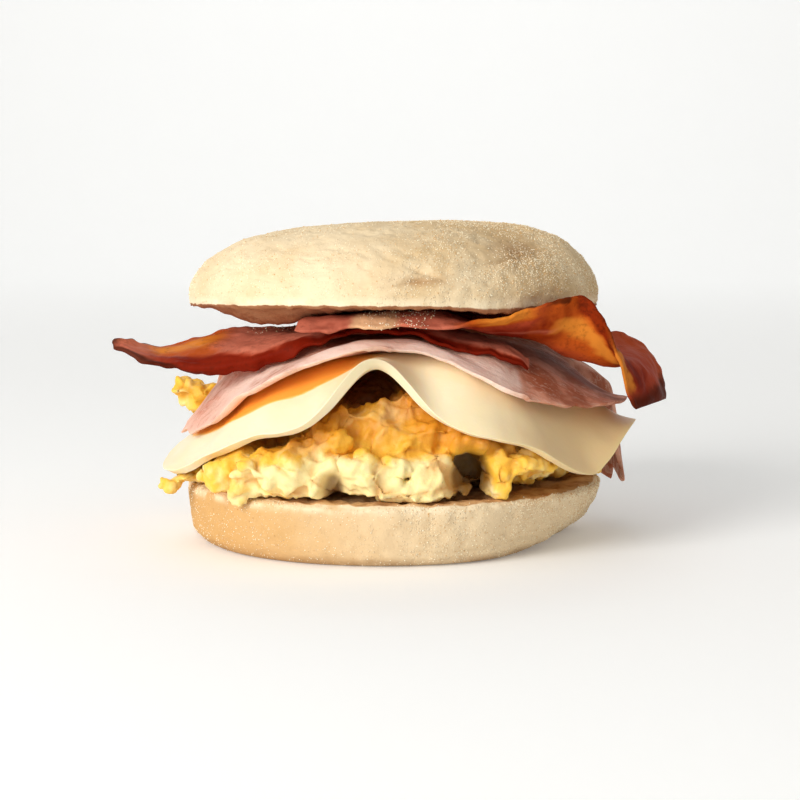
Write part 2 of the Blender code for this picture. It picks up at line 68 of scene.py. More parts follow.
log = logging.getLogger("filled_muffin")


# Plain maths


def smooth(low: float, high: float, value: Array | float) -> Array:
    """An S from 0 at low to 1 at high, whichever of the two is larger.

    Args:
        low: The value where the result is 0.
        high: The value where the result is 1.
        value: The values to look up.

    Returns:
        The share of each value, from 0 to 1.
    """
    share = np.clip((np.asarray(value, float) - low) / (high - low), 0, 1)
    return share * share * (3 - 2 * share)


def mix(first: Array | float, second: Array | float, share: Array | float) -> Array | float:
    """first where share is 0, second where it is 1, and an even blend between."""
    return first + (second - first) * share


def bell(value: Array | float, at: float, half: float, power: float = 2) -> Array:
    """1 at one value, fading to both sides over about half."""
    return np.exp(-(((value - at) / half) ** power))


def unit(vectors: Array) -> Array:
    """The vectors, each one long."""
    return vectors / np.maximum(np.linalg.norm(vectors, axis=-1, keepdims=True), TINY)


def ring(angles: Array, radius: float, height: float) -> Array:
    """A level ring of points round the Z axis."""
    return np.stack([radius * np.cos(angles), radius * np.sin(angles), np.full(len(angles), height)], axis=1)


def curve_through(points: Sequence[Sequence[float]], count: int) -> Array:
    """A natural cubic spline through points, spaced by their distances.

    Args:
        points: The points it passes.
        count: How many even steps to return.

    Returns:
        The points of the spline, one row each.
    """
    points = np.asarray(points, float)
    steps = np.linalg.norm(np.diff(points, axis=0), axis=1)
    at = np.concatenate([[0], np.cumsum(steps)])
    size = len(points)
    system = np.eye(size)
    wanted = np.zeros_like(points)
    for i in range(1, size - 1):
        before, after = steps[i - 1], steps[i]
        system[i, i - 1 : i + 2] = before, 2 * (before + after), after
        wanted[i] = 6 * ((points[i + 1] - points[i]) / after - (points[i] - points[i - 1]) / before)
    bend = np.linalg.solve(system, wanted)
    where = np.linspace(0, at[-1], count)
    index = np.clip(np.searchsorted(at, where, side="right") - 1, 0, size - 2)
    span = steps[index][:, None]
    ahead = (at[index + 1] - where)[:, None]
    behind = (where - at[index])[:, None]
    return (
        (bend[index] * ahead**3 + bend[index + 1] * behind**3) / (6 * span)
        + (points[index] / span - bend[index] * span / 6) * ahead
        + (points[index + 1] / span - bend[index + 1] * span / 6) * behind
    )


def rounded_corner(points: Array, count: int) -> Array:
    """Evenly spaced points of a bent line whose corner is eased round."""
    at = np.concatenate([[0], np.cumsum(np.linalg.norm(np.diff(points, axis=0), axis=1))])
    reach = 0.16 * at[-1]
    eased = np.zeros((count, 3))
    for row, middle in enumerate(np.linspace(0, at[-1], count)):
        room = min(reach, middle, at[-1] - middle)
        window = middle + room * np.linspace(-1, 1, 9)
        for k in range(3):
            eased[row, k] = np.mean(np.interp(window, at, points[:, k]))
    return eased


def polar(x: Array, y: Array) -> tuple[Array, Array]:
    """Distance from the axis and direction of points."""
    return np.hypot(x, y), np.arctan2(y, x)


def seed_shift(seed: float) -> Vector:
    """Where in the noise a seed starts."""
    return Vector((seed, 1.7 * seed, 0.3 * seed))


def lumps(points: Array, size: float, seed: float, octaves: int = 2) -> Array:
    """Smooth random heights at points.

    Args:
        points: Where to look, one row each, in metres.
        size: About how far apart two lumps are.
        seed: Shifts the pattern.
        octaves: How many finer layers are added.

    Returns:
        Heights from about -1 to 1.
    """
    shift = seed_shift(seed)
    return np.array([noise.fractal(Vector(p) + shift, 1.0, 2.0, octaves) for p in points / size])


def creases(points: Array, size: float, seed: float) -> Array:
    """Distance from the nearest tear between cells, as a share of the cell.

    Args:
        points: Where to look, one row each, in metres.
        size: How wide a cell is.
        seed: Shifts the pattern.

    Returns:
        0 in a tear, towards 1 in the middle of a cell.
    """
    shift = seed_shift(seed)
    near = [noise.voronoi(Vector(p) + shift)[0] for p in points / size]
    return np.array([second - first for first, second, *_ in near])


# Mesh building


@dataclass
class Skin:
    """Loops of points joined into one closed mesh, with named values on its points."""

    name: str
    loops: list[Array] = field(default_factory=list)
    values: dict[str, list[Array]] = field(default_factory=dict)

    def add(self, loop: Array, **values: Array) -> None:
        """Adds the next loop and its values."""
        self.loops.append(np.asarray(loop, float))
        for key, value in values.items():
            self.values.setdefault(key, []).append(np.broadcast_to(np.asarray(value, float), (len(loop),)))

    def mesh(self) -> bpy.types.Mesh:
        """Joins the loops, and closes each end in one middle point.

        Returns:
            The closed mesh, smooth shaded, facing out.
        """
        count, size = len(self.loops), len(self.loops[0])
        index = np.arange(count * size).reshape(count, size)
        after = np.roll(index, -1, axis=1)
        faces = np.stack([index[:-1], after[:-1], after[1:], index[1:]], axis=-1).reshape(-1, 4).tolist()
        first, last = count * size, count * size + 1
        faces += [(first, int(b), int(a)) for a, b in zip(index[0], after[0])]
        faces += [(last, int(a), int(b)) for a, b in zip(index[-1], after[-1])]
        ends = np.stack([self.loops[0].mean(axis=0), self.loops[-1].mean(axis=0)])
        made = bpy.data.meshes.new(self.name)
        made.from_pydata(np.concatenate([*self.loops, ends]).tolist(), [], faces)
        made.validate()
        for key, parts in self.values.items():
            note_values(made, key, np.concatenate([*parts, parts[0][:1], parts[-1][-1:]]))
        made.shade_smooth()
        if signed_volume(made) < 0:
            made.flip_normals()
        return made


def note_values(mesh: bpy.types.Mesh, name: str, values: Array) -> None:
    """Keeps a named value on every point."""
    mesh.attributes.new(name, "FLOAT", "POINT").data.foreach_set("value", values.astype(np.float32))


def kept_values(mesh: bpy.types.Mesh, name: str) -> Array:
    """A named value of every point."""
    values = np.zeros(len(mesh.vertices), np.float32)
    mesh.attributes[name].data.foreach_get("value", values)
    return values


def signed_volume(mesh: bpy.types.Mesh) -> float:
    """The mesh's volume, which is negative when its faces point inwards."""
    mesh.calc_loop_triangles()
    corners = np.zeros(len(mesh.loop_triangles) * 3, np.int32)
    mesh.loop_triangles.foreach_get("vertices", corners)
    points = read_points(mesh)[corners].reshape(-1, 3, 3)
    return float(np.sum(np.einsum("ij,ij->i", points[:, 0], np.cross(points[:, 1], points[:, 2]))) / 6)


def read_rows(items: bpy.types.bpy_prop_collection, name: str) -> Array:
    """One vector of each item of a mesh, one row each."""
    flat = np.zeros(len(items) * 3, np.float32)
    items.foreach_get(name, flat)
    return flat.reshape(-1, 3).astype(float)


def read_points(mesh: bpy.types.Mesh) -> Array:
    """The mesh's points."""
    return read_rows(mesh.vertices, "co")


def read_normals(mesh: bpy.types.Mesh) -> Array:
    """The mesh's normals at its points."""
    return read_rows(mesh.vertex_normals, "vector")


def write_points(mesh: bpy.types.Mesh, points: Array) -> None:
    """Puts the mesh's points where points says."""
    mesh.vertices.foreach_set("co", points.astype(np.float32).ravel())
    mesh.update()


def add_piece(name: str, mesh: bpy.types.Mesh, material: bpy.types.Material) -> bpy.types.Object:
    """Links a mesh to the scene as a dressed piece."""
    piece = bpy.data.objects.new(name, mesh)
    bpy.context.scene.collection.objects.link(piece)
    mesh.materials.clear()
    mesh.materials.append(material)
    return piece


def place_piece(name: str, mesh: bpy.types.Mesh, look: bpy.types.Material, slot: str, *nodes: str) -> None:
    """Adds a piece and ties it to the part.

    Args:
        name: The piece's name.
        mesh: Its form.
        look: Its finish.
        slot: The part's material slot that the finish belongs to; not used.
        nodes: The solids that it stands for.
    """
    piece = add_piece(name, mesh, look)
    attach(piece, "root")
    if nodes:
        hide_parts(*nodes)
    log.info("%s: %d faces", piece.name, len(piece.data.polygons))


SQUARE_HEM = ((0.88, 0.08), (0.0, -0.55), (-0.9, -1.2))
SOFT_HEM = ((0.75, 0.16), (0.0, -0.1), (-0.8, -0.75))


def sheet_loops(
    skin: Skin, grid: Array, thick: Array, values: dict[str, Array], hem: Sequence[tuple[float, float]]
) -> None:
    """Wraps a ring-and-spoke grid into a closed sheet.

    Args:
        skin: Takes the loops.
        grid: Points by ring, from the middle out, and by spoke round.
        thick: The sheet's thickness at each of them.
        values: Named values at each of them.
        hem: How the edge turns in below: shares of half the thickness, and millimetres outwards.
    """
    out = np.gradient(grid, axis=0)
    along = (np.roll(grid, -1, axis=1) - np.roll(grid, 1, axis=1)) / 2
    normal = unit(np.cross(out, along))
    outward = unit(out[-1])
    half = thick[..., None] / 2
    for i in range(len(grid)):
        skin.add(grid[i] + normal[i] * half[i], side=1.0, **{k: v[i] for k, v in values.items()})
    for rise, far in hem:
        loop = grid[-1] + normal[-1] * half[-1] * rise + outward * far * MM
        skin.add(loop, side=0.5 + rise / 2, **{k: v[-1] for k, v in values.items()})
    for i in reversed(range(len(grid) - 3)):
        skin.add(grid[i] - normal[i] * half[i], side=0.0, **{k: v[i] for k, v in values.items()})


# The lie of each layer


@dataclass(frozen=True)
class Filling:
    """The broad top of the filling, inside the hems of its slices."""

    centre: tuple[float, float] = (-2.0 * MM, 4.0 * MM)
    crest: float = 41.7 * MM
    fall: float = 8.0 * MM
    half_left: float = 34 * MM
    half_right: float = 40 * MM
    half_front: float = 66 * MM
    half_back: float = 60 * MM

    def top(self, x: Array, y: Array) -> Array:
        """Height of the filling over points."""
        side = np.where(x < self.centre[0], self.half_left, self.half_right)
        depth = np.where(y < self.centre[1], self.half_front, self.half_back)
        across = np.abs(x - self.centre[0]) / side
        along = np.abs(y - self.centre[1]) / depth
        reach = (across**2.4 + along**2.4) ** (1 / 2.4)
        return self.crest - self.fall * reach**2.6


@dataclass(frozen=True)
class Lay:
    """How one slice lies: its hem and its height over any point."""

    filling: Filling = Filling()
    notch_angle: float = math.radians(163)
    notch_half: float = math.radians(20)

    def notch(self, angle: Array) -> Array:
        """1 in the direction where egg bulges out past the slices, fading beside it."""
        return bell(angle, self.notch_angle, self.notch_half)

    def slope(self, x: Array, y: Array) -> Array:
        """How much further apart two sloping sheets stand, measured straight up."""
        step = 0.5 * MM
        rise_x = (self.height(x + step, y) - self.height(x - step, y)) / (2 * step)
        rise_y = (self.height(x, y + step) - self.height(x, y - step)) / (2 * step)
        return np.sqrt(1 + np.minimum(rise_x**2 + rise_y**2, 6))


@dataclass(frozen=True)
class CheeseLay(Lay):
    """The cheese slice, pinched up into a tent at the front and spread in two wings."""

    thick: float = 2.1 * MM
    tent_x: float = -5.4 * MM
    tent_crest: float = 40.7 * MM
    tent_half: float = 8.8 * MM

    def hem(self, angle: Array) -> tuple[Array, Array]:
        """(distance from the axis, height) of the hem in each direction."""
        front = smooth(0.25, -0.35, np.sin(angle))
        reach = mix(45.5 * MM, 51.2 * MM, front * (0.55 + 0.45 * np.abs(np.cos(angle))))
        reach = reach + 2.2 * MM * bell(angle, -0.14, 0.2)
        reach = mix(reach, 40.2 * MM, smooth(0.42, 0.0, np.abs(np.cos(angle))) * front)
        reach = reach - 6.5 * MM * bell(angle, 0.5, 0.52)
        corner = bell(angle, -2.8, 0.16)
        reach = reach + 1.3 * MM * corner
        x = reach * np.cos(angle)
        away = x - self.tent_x
        left = (
            19.5 * MM
            + 6.6 * MM * smooth(-38 * MM, -20 * MM, away)
            + 0.12 * np.maximum(away + 20 * MM, 0)
            - 3.0 * MM * smooth(-33 * MM, -42 * MM, away)
        )
        right = (
            30.8 * MM
            - 0.22 * away
            - 4.5 * MM * smooth(24 * MM, 38 * MM, x)
            + 12 * MM * smooth(38 * MM, 52 * MM, x)
        )
        base = mix(left, right, smooth(-4 * MM, 6 * MM, away)) - 0.9 * MM * corner
        tented = base + (self.tent_crest - base) * bell(away, 0, self.tent_half)
        behind = 22.3 * MM + 2.2 * MM * np.sin(3 * angle + 0.6)
        behind = mix(behind, 30 * MM, self.notch(angle))
        reach = mix(reach, 37.5 * MM, self.notch(angle))
        return reach, mix(behind, tented, front)

    def height(self, x: Array, y: Array) -> Array:
        """Height of the slice over points, falling away fast outside its hem."""
        reach, angle = polar(x, y)
        hem, low = self.hem(angle)
        start = mix(0.76, 0.58, smooth(0.4, -0.3, np.sin(angle))) * hem
        share = np.clip((reach - start) / (hem - start), 0, 1)
        inside = mix(self.filling.top(x, y), low, share**1.7)
        return inside - 5 * np.maximum(reach - hem - 1.5 * MM, 0)


@dataclass(frozen=True)
class HamLay(Lay):
    """The ham slice over the cheese, lifted at the front and hanging in a flap at the right."""

    cheese: CheeseLay = CheeseLay()
    thick: float = 1.7 * MM
    gap: float = 0.45 * MM
    flap_angle: float = math.radians(19)
    flap_half: float = math.radians(13.5)
    lip_rise: float = 2.2 * MM

    def flap(self, angle: Array) -> Array:
        """1 where the ham hangs down at the right, fading beside it."""
        return bell(angle, self.flap_angle, self.flap_half, 4)

    def hem(self, angle: Array) -> tuple[Array, Array]:
        """(distance from the axis, height) of the hem in each direction."""
        front = smooth(0.3, -0.3, np.sin(angle))
        reach = mix(42.5 * MM, 47.6 * MM, front * np.abs(np.cos(angle)) ** 1.5)
        reach = mix(reach, 35.6 * MM, smooth(0.55, 0.0, np.abs(np.cos(angle))) * front)
        flap = self.flap(angle)
        reach = reach + 2.6 * MM * bell(angle, -0.3, 0.34)
        reach = mix(reach, 51.6 * MM, flap)
        x = reach * np.cos(angle)
        away = x + 3 * MM
        left_low = 3.9 * MM * (np.maximum(-away, 0) / (19 * MM)) ** 1.9
        left_low = left_low + 5.5 * MM * smooth(-32 * MM, -46 * MM, x)
        right_low = 11.0 * MM * (1 - bell(np.maximum(away, 0), 0, 24 * MM, 2.6))
        ahead = 41.4 * MM - left_low - right_low
        behind = 27.8 * MM + 1.5 * MM * np.sin(4 * angle + 1.0)
        behind = mix(behind, 36 * MM, self.notch(angle))
        reach = mix(reach, 39.5 * MM, self.notch(angle))
        return reach, mix(mix(behind, ahead, front), 8.6 * MM, flap)

    def lip(self, x: Array, y: Array, hem: Array) -> Array:
        """How far the ham swells up just behind the middle of its front hem."""
        across = smooth(-27 * MM, -8 * MM, x) * smooth(20 * MM, 0, x) * smooth(-15 * MM, -25 * MM, y)
        return self.lip_rise * across * bell(np.hypot(x, y) - hem, -4 * MM, 3.2 * MM)

    def height(self, x: Array, y: Array) -> Array:
        """Its own drape, held up wherever the cheese is under it."""
        reach, angle = polar(x, y)
        hem, low = self.hem(angle)
        start = mix(0.8, 0.62, smooth(0.4, -0.3, np.sin(angle))) * hem
        start = mix(start, 0.93 * hem, self.flap(angle))
        share = np.clip((reach - start) / (hem - start), 0, 1)
        room = self.gap * (1 + 1.5 * smooth(-0.2, 0.3, np.sin(angle)))
        offset = (self.cheese.thick + self.thick) / 2 + room
        own = mix(self.filling.top(x, y) + offset, low, share**1.7) + self.lip(x, y, hem)
        return np.maximum(own, self.cheese.height(x, y) + offset * self.cheese.slope(x, y))


# Shader building


class Value:
    """A shader socket that takes part in expressions, adding the Math nodes they need."""

    def __init__(self, shader: Shader, socket: bpy.types.NodeSocket) -> None:
        """Wraps one output socket of a shader."""
        self.shader = shader
        self.socket = socket

    def math(self, operation: str, other: Value | float) -> Value:
        """The result of one Math node on this value and another."""
        return self.shader.node("ShaderNodeMath", {"operation": operation}, {0: self, 1: other})

    def largest(self, other: Value) -> Value:
        """The larger of two values."""
        return self.math("MAXIMUM", other)

    def __add__(self, other: Value | float) -> Value:
        """self + other."""
        return self.math("ADD", other)

    __radd__ = __add__

    def __mul__(self, other: Value | float) -> Value:
        """self * other."""
        return self.math("MULTIPLY", other)

    __rmul__ = __mul__

    def __sub__(self, other: Value | float) -> Value:
        """self - other."""
        return self.math("SUBTRACT", other)

    def __rsub__(self, other: float) -> Value:
        """other - self."""
        return self.shader.node("ShaderNodeMath", {"operation": "SUBTRACT"}, {0: other, 1: self})

    def step(self, low: float, high: float) -> Value:
        """A smooth step from 0 at low to 1 at high, which may be the smaller one."""
        settings = {"interpolation_type": "SMOOTHSTEP", "clamp": True}
        inputs = {"Value": self, "From Min": low, "From Max": high}
        if low > high:
            inputs = {"Value": self, "From Min": high, "From Max": low, "To Min": 1.0, "To Max": 0.0}
        return self.shader.node("ShaderNodeMapRange", settings, inputs)

    def between(self, low: float, high: float, soft: float) -> Value:
        """1 between low and high, with soft ends."""
        return self.step(low - soft, low + soft) * self.step(high + soft, high - soft)


Layer = tuple[Value | Colour, Value | float]


class Shader:
    """Builds one material's nodes round its Principled BSDF."""

    def __init__(self, name: str) -> None:
        """Starts a material of that name."""
        self.material = bpy.data.materials.new(name)
        self.material.use_nodes = True
        self.tree = self.material.node_tree
        self.surface = self.tree.nodes["Principled BSDF"]

    def node(
        self, kind: str, settings: dict[str, object], inputs: dict[str | int, object], output: str | int = 0
    ) -> Value:
        """Adds one node.

        Args:
            kind: The node's type.
            settings: Its own properties, which are set first.
            inputs: The value or link of each socket, by name or place.
            output: The socket that is wanted, by name or place.

        Returns:
            The wanted output.
        """
        made = self.tree.nodes.new(kind)
        for key, value in settings.items():
            setattr(made, key, value)
        for key, value in inputs.items():
            self.feed(made.inputs[key], value)
        return Value(self, made.outputs[output])

    def feed(self, socket: bpy.types.NodeSocket, value: object) -> None:
        """Links or sets one input socket."""
        if isinstance(value, Value):
            self.tree.links.new(value.socket, socket)
        elif isinstance(value, tuple) and len(value) == 3 and socket.type == "RGBA":
            socket.default_value = (*value, 1.0)
        else:
            socket.default_value = value

    def place(self) -> Value:
        """The point's place in the part, in metres."""
        return self.node("ShaderNodeTexCoord", {}, {}, "Object")

    def part_of(self, axis: str) -> Value:
        """One coordinate of the point's place, in millimetres."""
        return self.node("ShaderNodeSeparateXYZ", {}, {0: self.place()}, axis) * MM_PER_METRE

    def kept(self, name: str) -> Value:
        """A named value that the mesh carries."""
        return self.node("ShaderNodeAttribute", {"attribute_name": name}, {}, "Fac")

    def shifted(self, shift: Point, stretch: Point = (1, 1, 1)) -> Value:
        """The point's place, moved and stretched."""
        inputs = {"Vector": self.place(), "Location": shift, "Scale": stretch}
        return self.node("ShaderNodeMapping", {}, inputs)

    def noise(self, size_mm: float, detail: float, seed: float, stretch: Point = (1, 1, 1)) -> Value:
        """Fractal noise from 0 to 1 whose lumps are about size_mm across."""
        where = self.shifted((seed, 2 * seed, seed), stretch)
        inputs = {"Vector": where, "Scale": MM_PER_METRE / size_mm, "Detail": detail, "Roughness": 0.55}
        return self.node("ShaderNodeTexNoise", {}, inputs)

    def specks(self, size_mm: float, seed: float) -> Value:
        """Distance to the nearest of many scattered points, in cells of size_mm."""
        inputs = {"Vector": self.shifted((seed, seed, seed)), "Scale": MM_PER_METRE / size_mm}
        return self.node("ShaderNodeTexVoronoi", {"feature": "F1"}, inputs)

    def blend(self, first: Value | Colour, second: Value | Colour, share: Value | float) -> Value:
        """A colour between two, by a share."""
        return self.node("ShaderNodeMix", {"data_type": "RGBA"}, {0: share, 6: first, 7: second}, 2)

    def layered(self, colour: Value | Colour, *layers: Layer) -> Value:
        """Lays colours over one another, each by its share."""
        for over, share in layers:
            colour = self.blend(colour, over, share)
        return colour

    def bump(self, height: Value, depth_mm: float) -> None:
        """Raises the surface by up to depth_mm where height is 1."""
        inputs = {"Height": height, "Strength": 0.9, "Distance": depth_mm * MM}
        self.feed(self.surface.inputs["Normal"], self.node("ShaderNodeBump", {}, inputs))

    def finish(self, colour: Value, rough: Value | float, fixed: dict[str, object]) -> bpy.types.Material:
        """Feeds the surface and sets its fixed sockets.

        Args:
            colour: The base colour.
            rough: The roughness.
            fixed: Other sockets' constants, by name.

        Returns:
            The finished material.
        """
        self.feed(self.surface.inputs["Base Color"], colour)
        self.feed(self.surface.inputs["Roughness"], rough)
        for key, value in fixed.items():
            self.feed(self.surface.inputs[key], value)
        return self.material


def soft_food(weight: float, depth: float, tint: Point, shine: float) -> dict[str, object]:
    """Fixed sockets of a food that light soaks into.

    Args:
        weight: How much of the light soaks in.
        depth: How far it gets.
        tint: How far each colour of it gets, as shares of that depth.
        shine: How strongly the surface mirrors.

    Returns:
        The sockets' constants, by name.
    """
    return {
        "Subsurface Weight": weight,
        "Subsurface Scale": depth,
        "Subsurface Radius": tint,
        "Specular IOR Level": shine,
    }


def srgb(red: float, green: float, blue: float) -> Colour:
    """A scene-linear colour from the 0 to 255 numbers of a display."""
    parts = [c / 255 for c in (red, green, blue)]
    return tuple(c / 12.92 if c <= 0.04045 else ((c + 0.055) / 1.055) ** 2.4 for c in parts)


class BreadFace(Enum):
    """Which side of the bread a finish has to show."""

    LOWER = "lower"
    UPPER = "upper"


@dataclass(frozen=True)
class CrustFinish:
    """Floury griddle crust, with toasted crumb where it was cut; painted shade darkens the lid's cut face and
    the foot of the lower half, and painted light and shade shift the tone across each half.
    """

    face: BreadFace
    pale: Colour = srgb(235, 214, 178)
    tan: Colour = srgb(212, 181, 134)
    warm: Colour = srgb(206, 158, 94)
    flour: Colour = srgb(248, 232, 200)
    speck: Colour = srgb(160, 114, 66)
    shade: Colour = srgb(146, 86, 56)
    crumb: Colour = srgb(226, 184, 132)
    toast: Colour = srgb(178, 122, 72)

    def make(self) -> bpy.types.Material:
        """Builds the material."""
        shader = Shader(f"crust_{self.face.value}")
        broad = shader.noise(22, 3, 1.0)
        patch = shader.noise(6, 4, 2.0)
        fine = shader.noise(0.7, 3, 3.0)
        # Painted light and shade across the crust: the lower half is painted paler towards the right, and the
        # lid tanner towards its shaded right.
        right = shader.part_of("X").step(-25.0, 25.0)
        tilt = -0.2 if self.face is BreadFace.LOWER else 0.12
        skin = shader.blend(self.pale, self.tan, (broad * 0.7 + patch * 0.4 + right * tilt).step(0.42, 0.86))
        if self.face is BreadFace.LOWER:
            left = shader.part_of("X").step(14.0, -42.0)
            # Painted shade: patchy darker specks low on the lower half's foot, next to the table.
            foot = shader.part_of("Z").step(2.6, 0.4) * patch.step(0.25, 0.6)
            skin = shader.layered(skin, (self.warm, left * 0.8 + 0.12), (self.speck, foot * 0.55))
        dusty = shader.noise(5, 3, 4.0).step(0.36, 0.62) * (right * 0.7 + 0.3)
        dark = shader.specks(0.62, 0.9).step(0.3, 0.12) * dusty
        # The crust is painted darker in the lid's dent and wrinkles.
        worn = shader.kept("worn") * (patch + fine * 0.6).step(0.4, 0.9)
        light = shader.specks(0.7, 0.4).step(0.32, 0.16) * dusty
        rim = shader.kept("rim") * patch.step(0.35, 0.55)
        pores = shader.noise(1.4, 4, 5.0)
        cut = shader.blend(self.crumb, self.toast, (pores * 0.35 + shader.noise(7, 2, 6.0)).step(0.5, 0.95))
        # Painted shade: the lid's cut face, which faces down, is darkened.
        if self.face is BreadFace.UPPER:
            cut = shader.blend(cut, self.shade, 0.8)
        share = shader.kept("cut").step(0.35, 0.65)
        colour = shader.layered(
            skin,
            (self.speck, dark * 0.5),
            (self.speck, worn * 0.75),
            (self.flour, (light * 0.6).largest(rim * 0.7)),
            (cut, share),
        )
        shader.bump(fine * 0.4 + patch * 0.25 + light * 0.6 + share * pores * 0.9, 0.3)
        return shader.finish(colour, 0.88, {"Specular IOR Level": 0.25})


@dataclass(frozen=True)
class GrainFinish:
    """Coarse flour grains that stick to the crust."""

    pale: Colour = srgb(255, 246, 220)
    golden: Colour = srgb(214, 168, 104)

    def make(self) -> bpy.types.Material:
        """Builds the material."""
        shader = Shader("grains")
        colour = shader.blend(self.pale, self.golden, shader.kept("shade").step(0.3, 1.0))
        return shader.finish(colour, 0.6, {"Specular IOR Level": 0.4})


@dataclass(frozen=True)
class EggFinish:
    """Soft scrambled egg: yellow, with paler set white; painted shade deepens the yellow in the folds and
    under the cheese and browns the recesses, and painted light makes the lower front paler.
    """

    pale: Colour = srgb(252, 230, 166)
    yellow: Colour = srgb(249, 196, 68)
    deep: Colour = srgb(210, 132, 24)
    recess_shade: Colour = srgb(96, 36, 8)

    def make(self) -> bpy.types.Material:
        """Builds the material."""
        shader = Shader("egg")
        patch = shader.noise(9, 3, 1.0)
        small = shader.noise(2.6, 3, 2.0)
        fine = shader.noise(0.7, 3, 3.0)
        height, shade_under = shader.kept("height"), shader.kept("shade_under")
        x, z = shader.part_of("X"), shader.part_of("Z")
        # Painted light: the lower front is painted paler, as lit.
        low = z.step(24.0, 19.0) * x.between(-30.0, 12.0, 9.0) * 0.36
        body = shader.blend(self.yellow, self.pale, (patch + small * 0.35 + low).step(0.62, 0.9))
        # Painted shade: the top, under the cheese, is painted deeper yellow.
        high = z.step(21.0, 26.0) * x.between(-14.0, 12.0, 5.0)
        # Painted shade: deeper yellow where the kept height is low, in the folds, and under the cheese; dark
        # brown in the recesses.
        colour = shader.layered(
            self.deep,
            (body, (height + small * 0.2).step(0.0, 0.55) * 0.66 + 0.34),
            (self.deep, (shade_under * 0.85).largest(high * 0.5)),
            (self.recess_shade, shader.kept("recess_shade") * 0.92),
        )
        shader.bump(small * 0.5 + fine * 0.4, 0.3)
        return shader.finish(colour, small * 0.2 + 0.42, soft_food(0.2, 2 * MM, (1.0, 0.6, 0.2), 0.35))


@dataclass(frozen=True)
class CheeseFinish:
    """Soft sliced cheese: smooth, pale and a little waxy, with painted shade: beige towards the right, and
    gold to orange under the ham, where light soaks through.
    """

    pale: Colour = srgb(250, 237, 204)
    warm: Colour = srgb(245, 221, 168)
    beige: Colour = srgb(238, 204, 144)
    gold: Colour = srgb(250, 206, 112)
    orange: Colour = srgb(254, 164, 62)

    def make(self) -> bpy.types.Material:
        """Builds the material."""
        shader = Shader("cheese")
        broad = shader.noise(20, 2, 1.0)
        fine = shader.noise(1.4, 2, 2.0)
        cloud = (broad + shader.noise(5, 2, 3.0) * 0.15).step(0.45, 0.8)
        shade_under = shader.kept("shade_under")
        colour = shader.layered(
            self.pale,
            (self.warm, cloud * 0.45),
            # Painted shade: beige towards the right, where the slice turns away from the light.
            (self.beige, shader.part_of("X").step(2.0, 40.0) * 0.8),
            # Painted shade under the ham: gold, then orange where light soaks through.
            (self.gold, shade_under.step(0.25, 0.6)),
            (self.orange, shade_under.step(0.45, 0.9)),
        )
        shader.bump(broad * 0.6 + fine * 0.1, 0.4)
        return shader.finish(colour, broad * 0.12 + 0.38, soft_food(0.3, 3 * MM, (1.0, 0.6, 0.25), 0.4))


@dataclass(frozen=True)
class HamFinish:
    """Boiled ham: pale pink at its hem, with marbling, and a painted shadow of the bacon, dark mauve-brown, on
    its upper surface at the right.
    """

    pink: Colour = srgb(228, 168, 142)
    pale: Colour = srgb(250, 222, 208)
    rind: Colour = srgb(250, 232, 214)
    rose: Colour = srgb(196, 122, 96)
    bacon_shadow: Colour = srgb(152, 80, 52)

    def make(self) -> bpy.types.Material:
        """Builds the material."""
        shader = Shader("ham")
        muscle = shader.noise(11, 3, 1.0)
        fibre = shader.noise(2.2, 4, 2.0, (0.5, 1.5, 1))
        fine = shader.noise(0.8, 3, 3.0)
        reach, x = shader.kept("reach"), shader.part_of("X")
        lean = (muscle * 0.9 + fibre * 0.4).step(0.55, 0.9)
        front = (x + muscle * 5.0).step(28.0, 26.5) * (x.step(-42.0, -26.0) * 0.6 + 0.4)
        band = reach.step(0.76, 0.86) * front
        # Painted shadow of the bacon: dark brown on the ham's upper surface at the right.
        bacon_shadow = (x + muscle * 10.0).step(24.0, 36.0) * (shader.noise(8, 3, 7.0) + reach * 0.3).step(0.92, 0.66)
        rind = reach.step(0.975, 0.995) * fibre.step(0.4, 0.7)
        veins = fibre.between(0.5, 0.53, 0.02) * muscle.step(0.4, 0.6)
        colour = shader.layered(
            self.pink,
            (self.rose, lean),
            (self.pale, band * (muscle + fibre * 0.5).step(1.1, 0.65) * 0.9),
            (self.bacon_shadow, bacon_shadow * 0.85),
            (self.rind, rind * 0.25 + veins * 0.3),
        )
        shader.bump(fibre * 0.7 + fine * 0.35 + muscle * 0.6, 0.4)
        return shader.finish(colour, fibre * 0.2 + 0.45, soft_food(0.18, 2 * MM, (1.0, 0.5, 0.35), 0.03))


class RasherKind(Enum):
    """Which of the two rashers a finish is for."""

    LEFT = "left"
    RIGHT = "right"


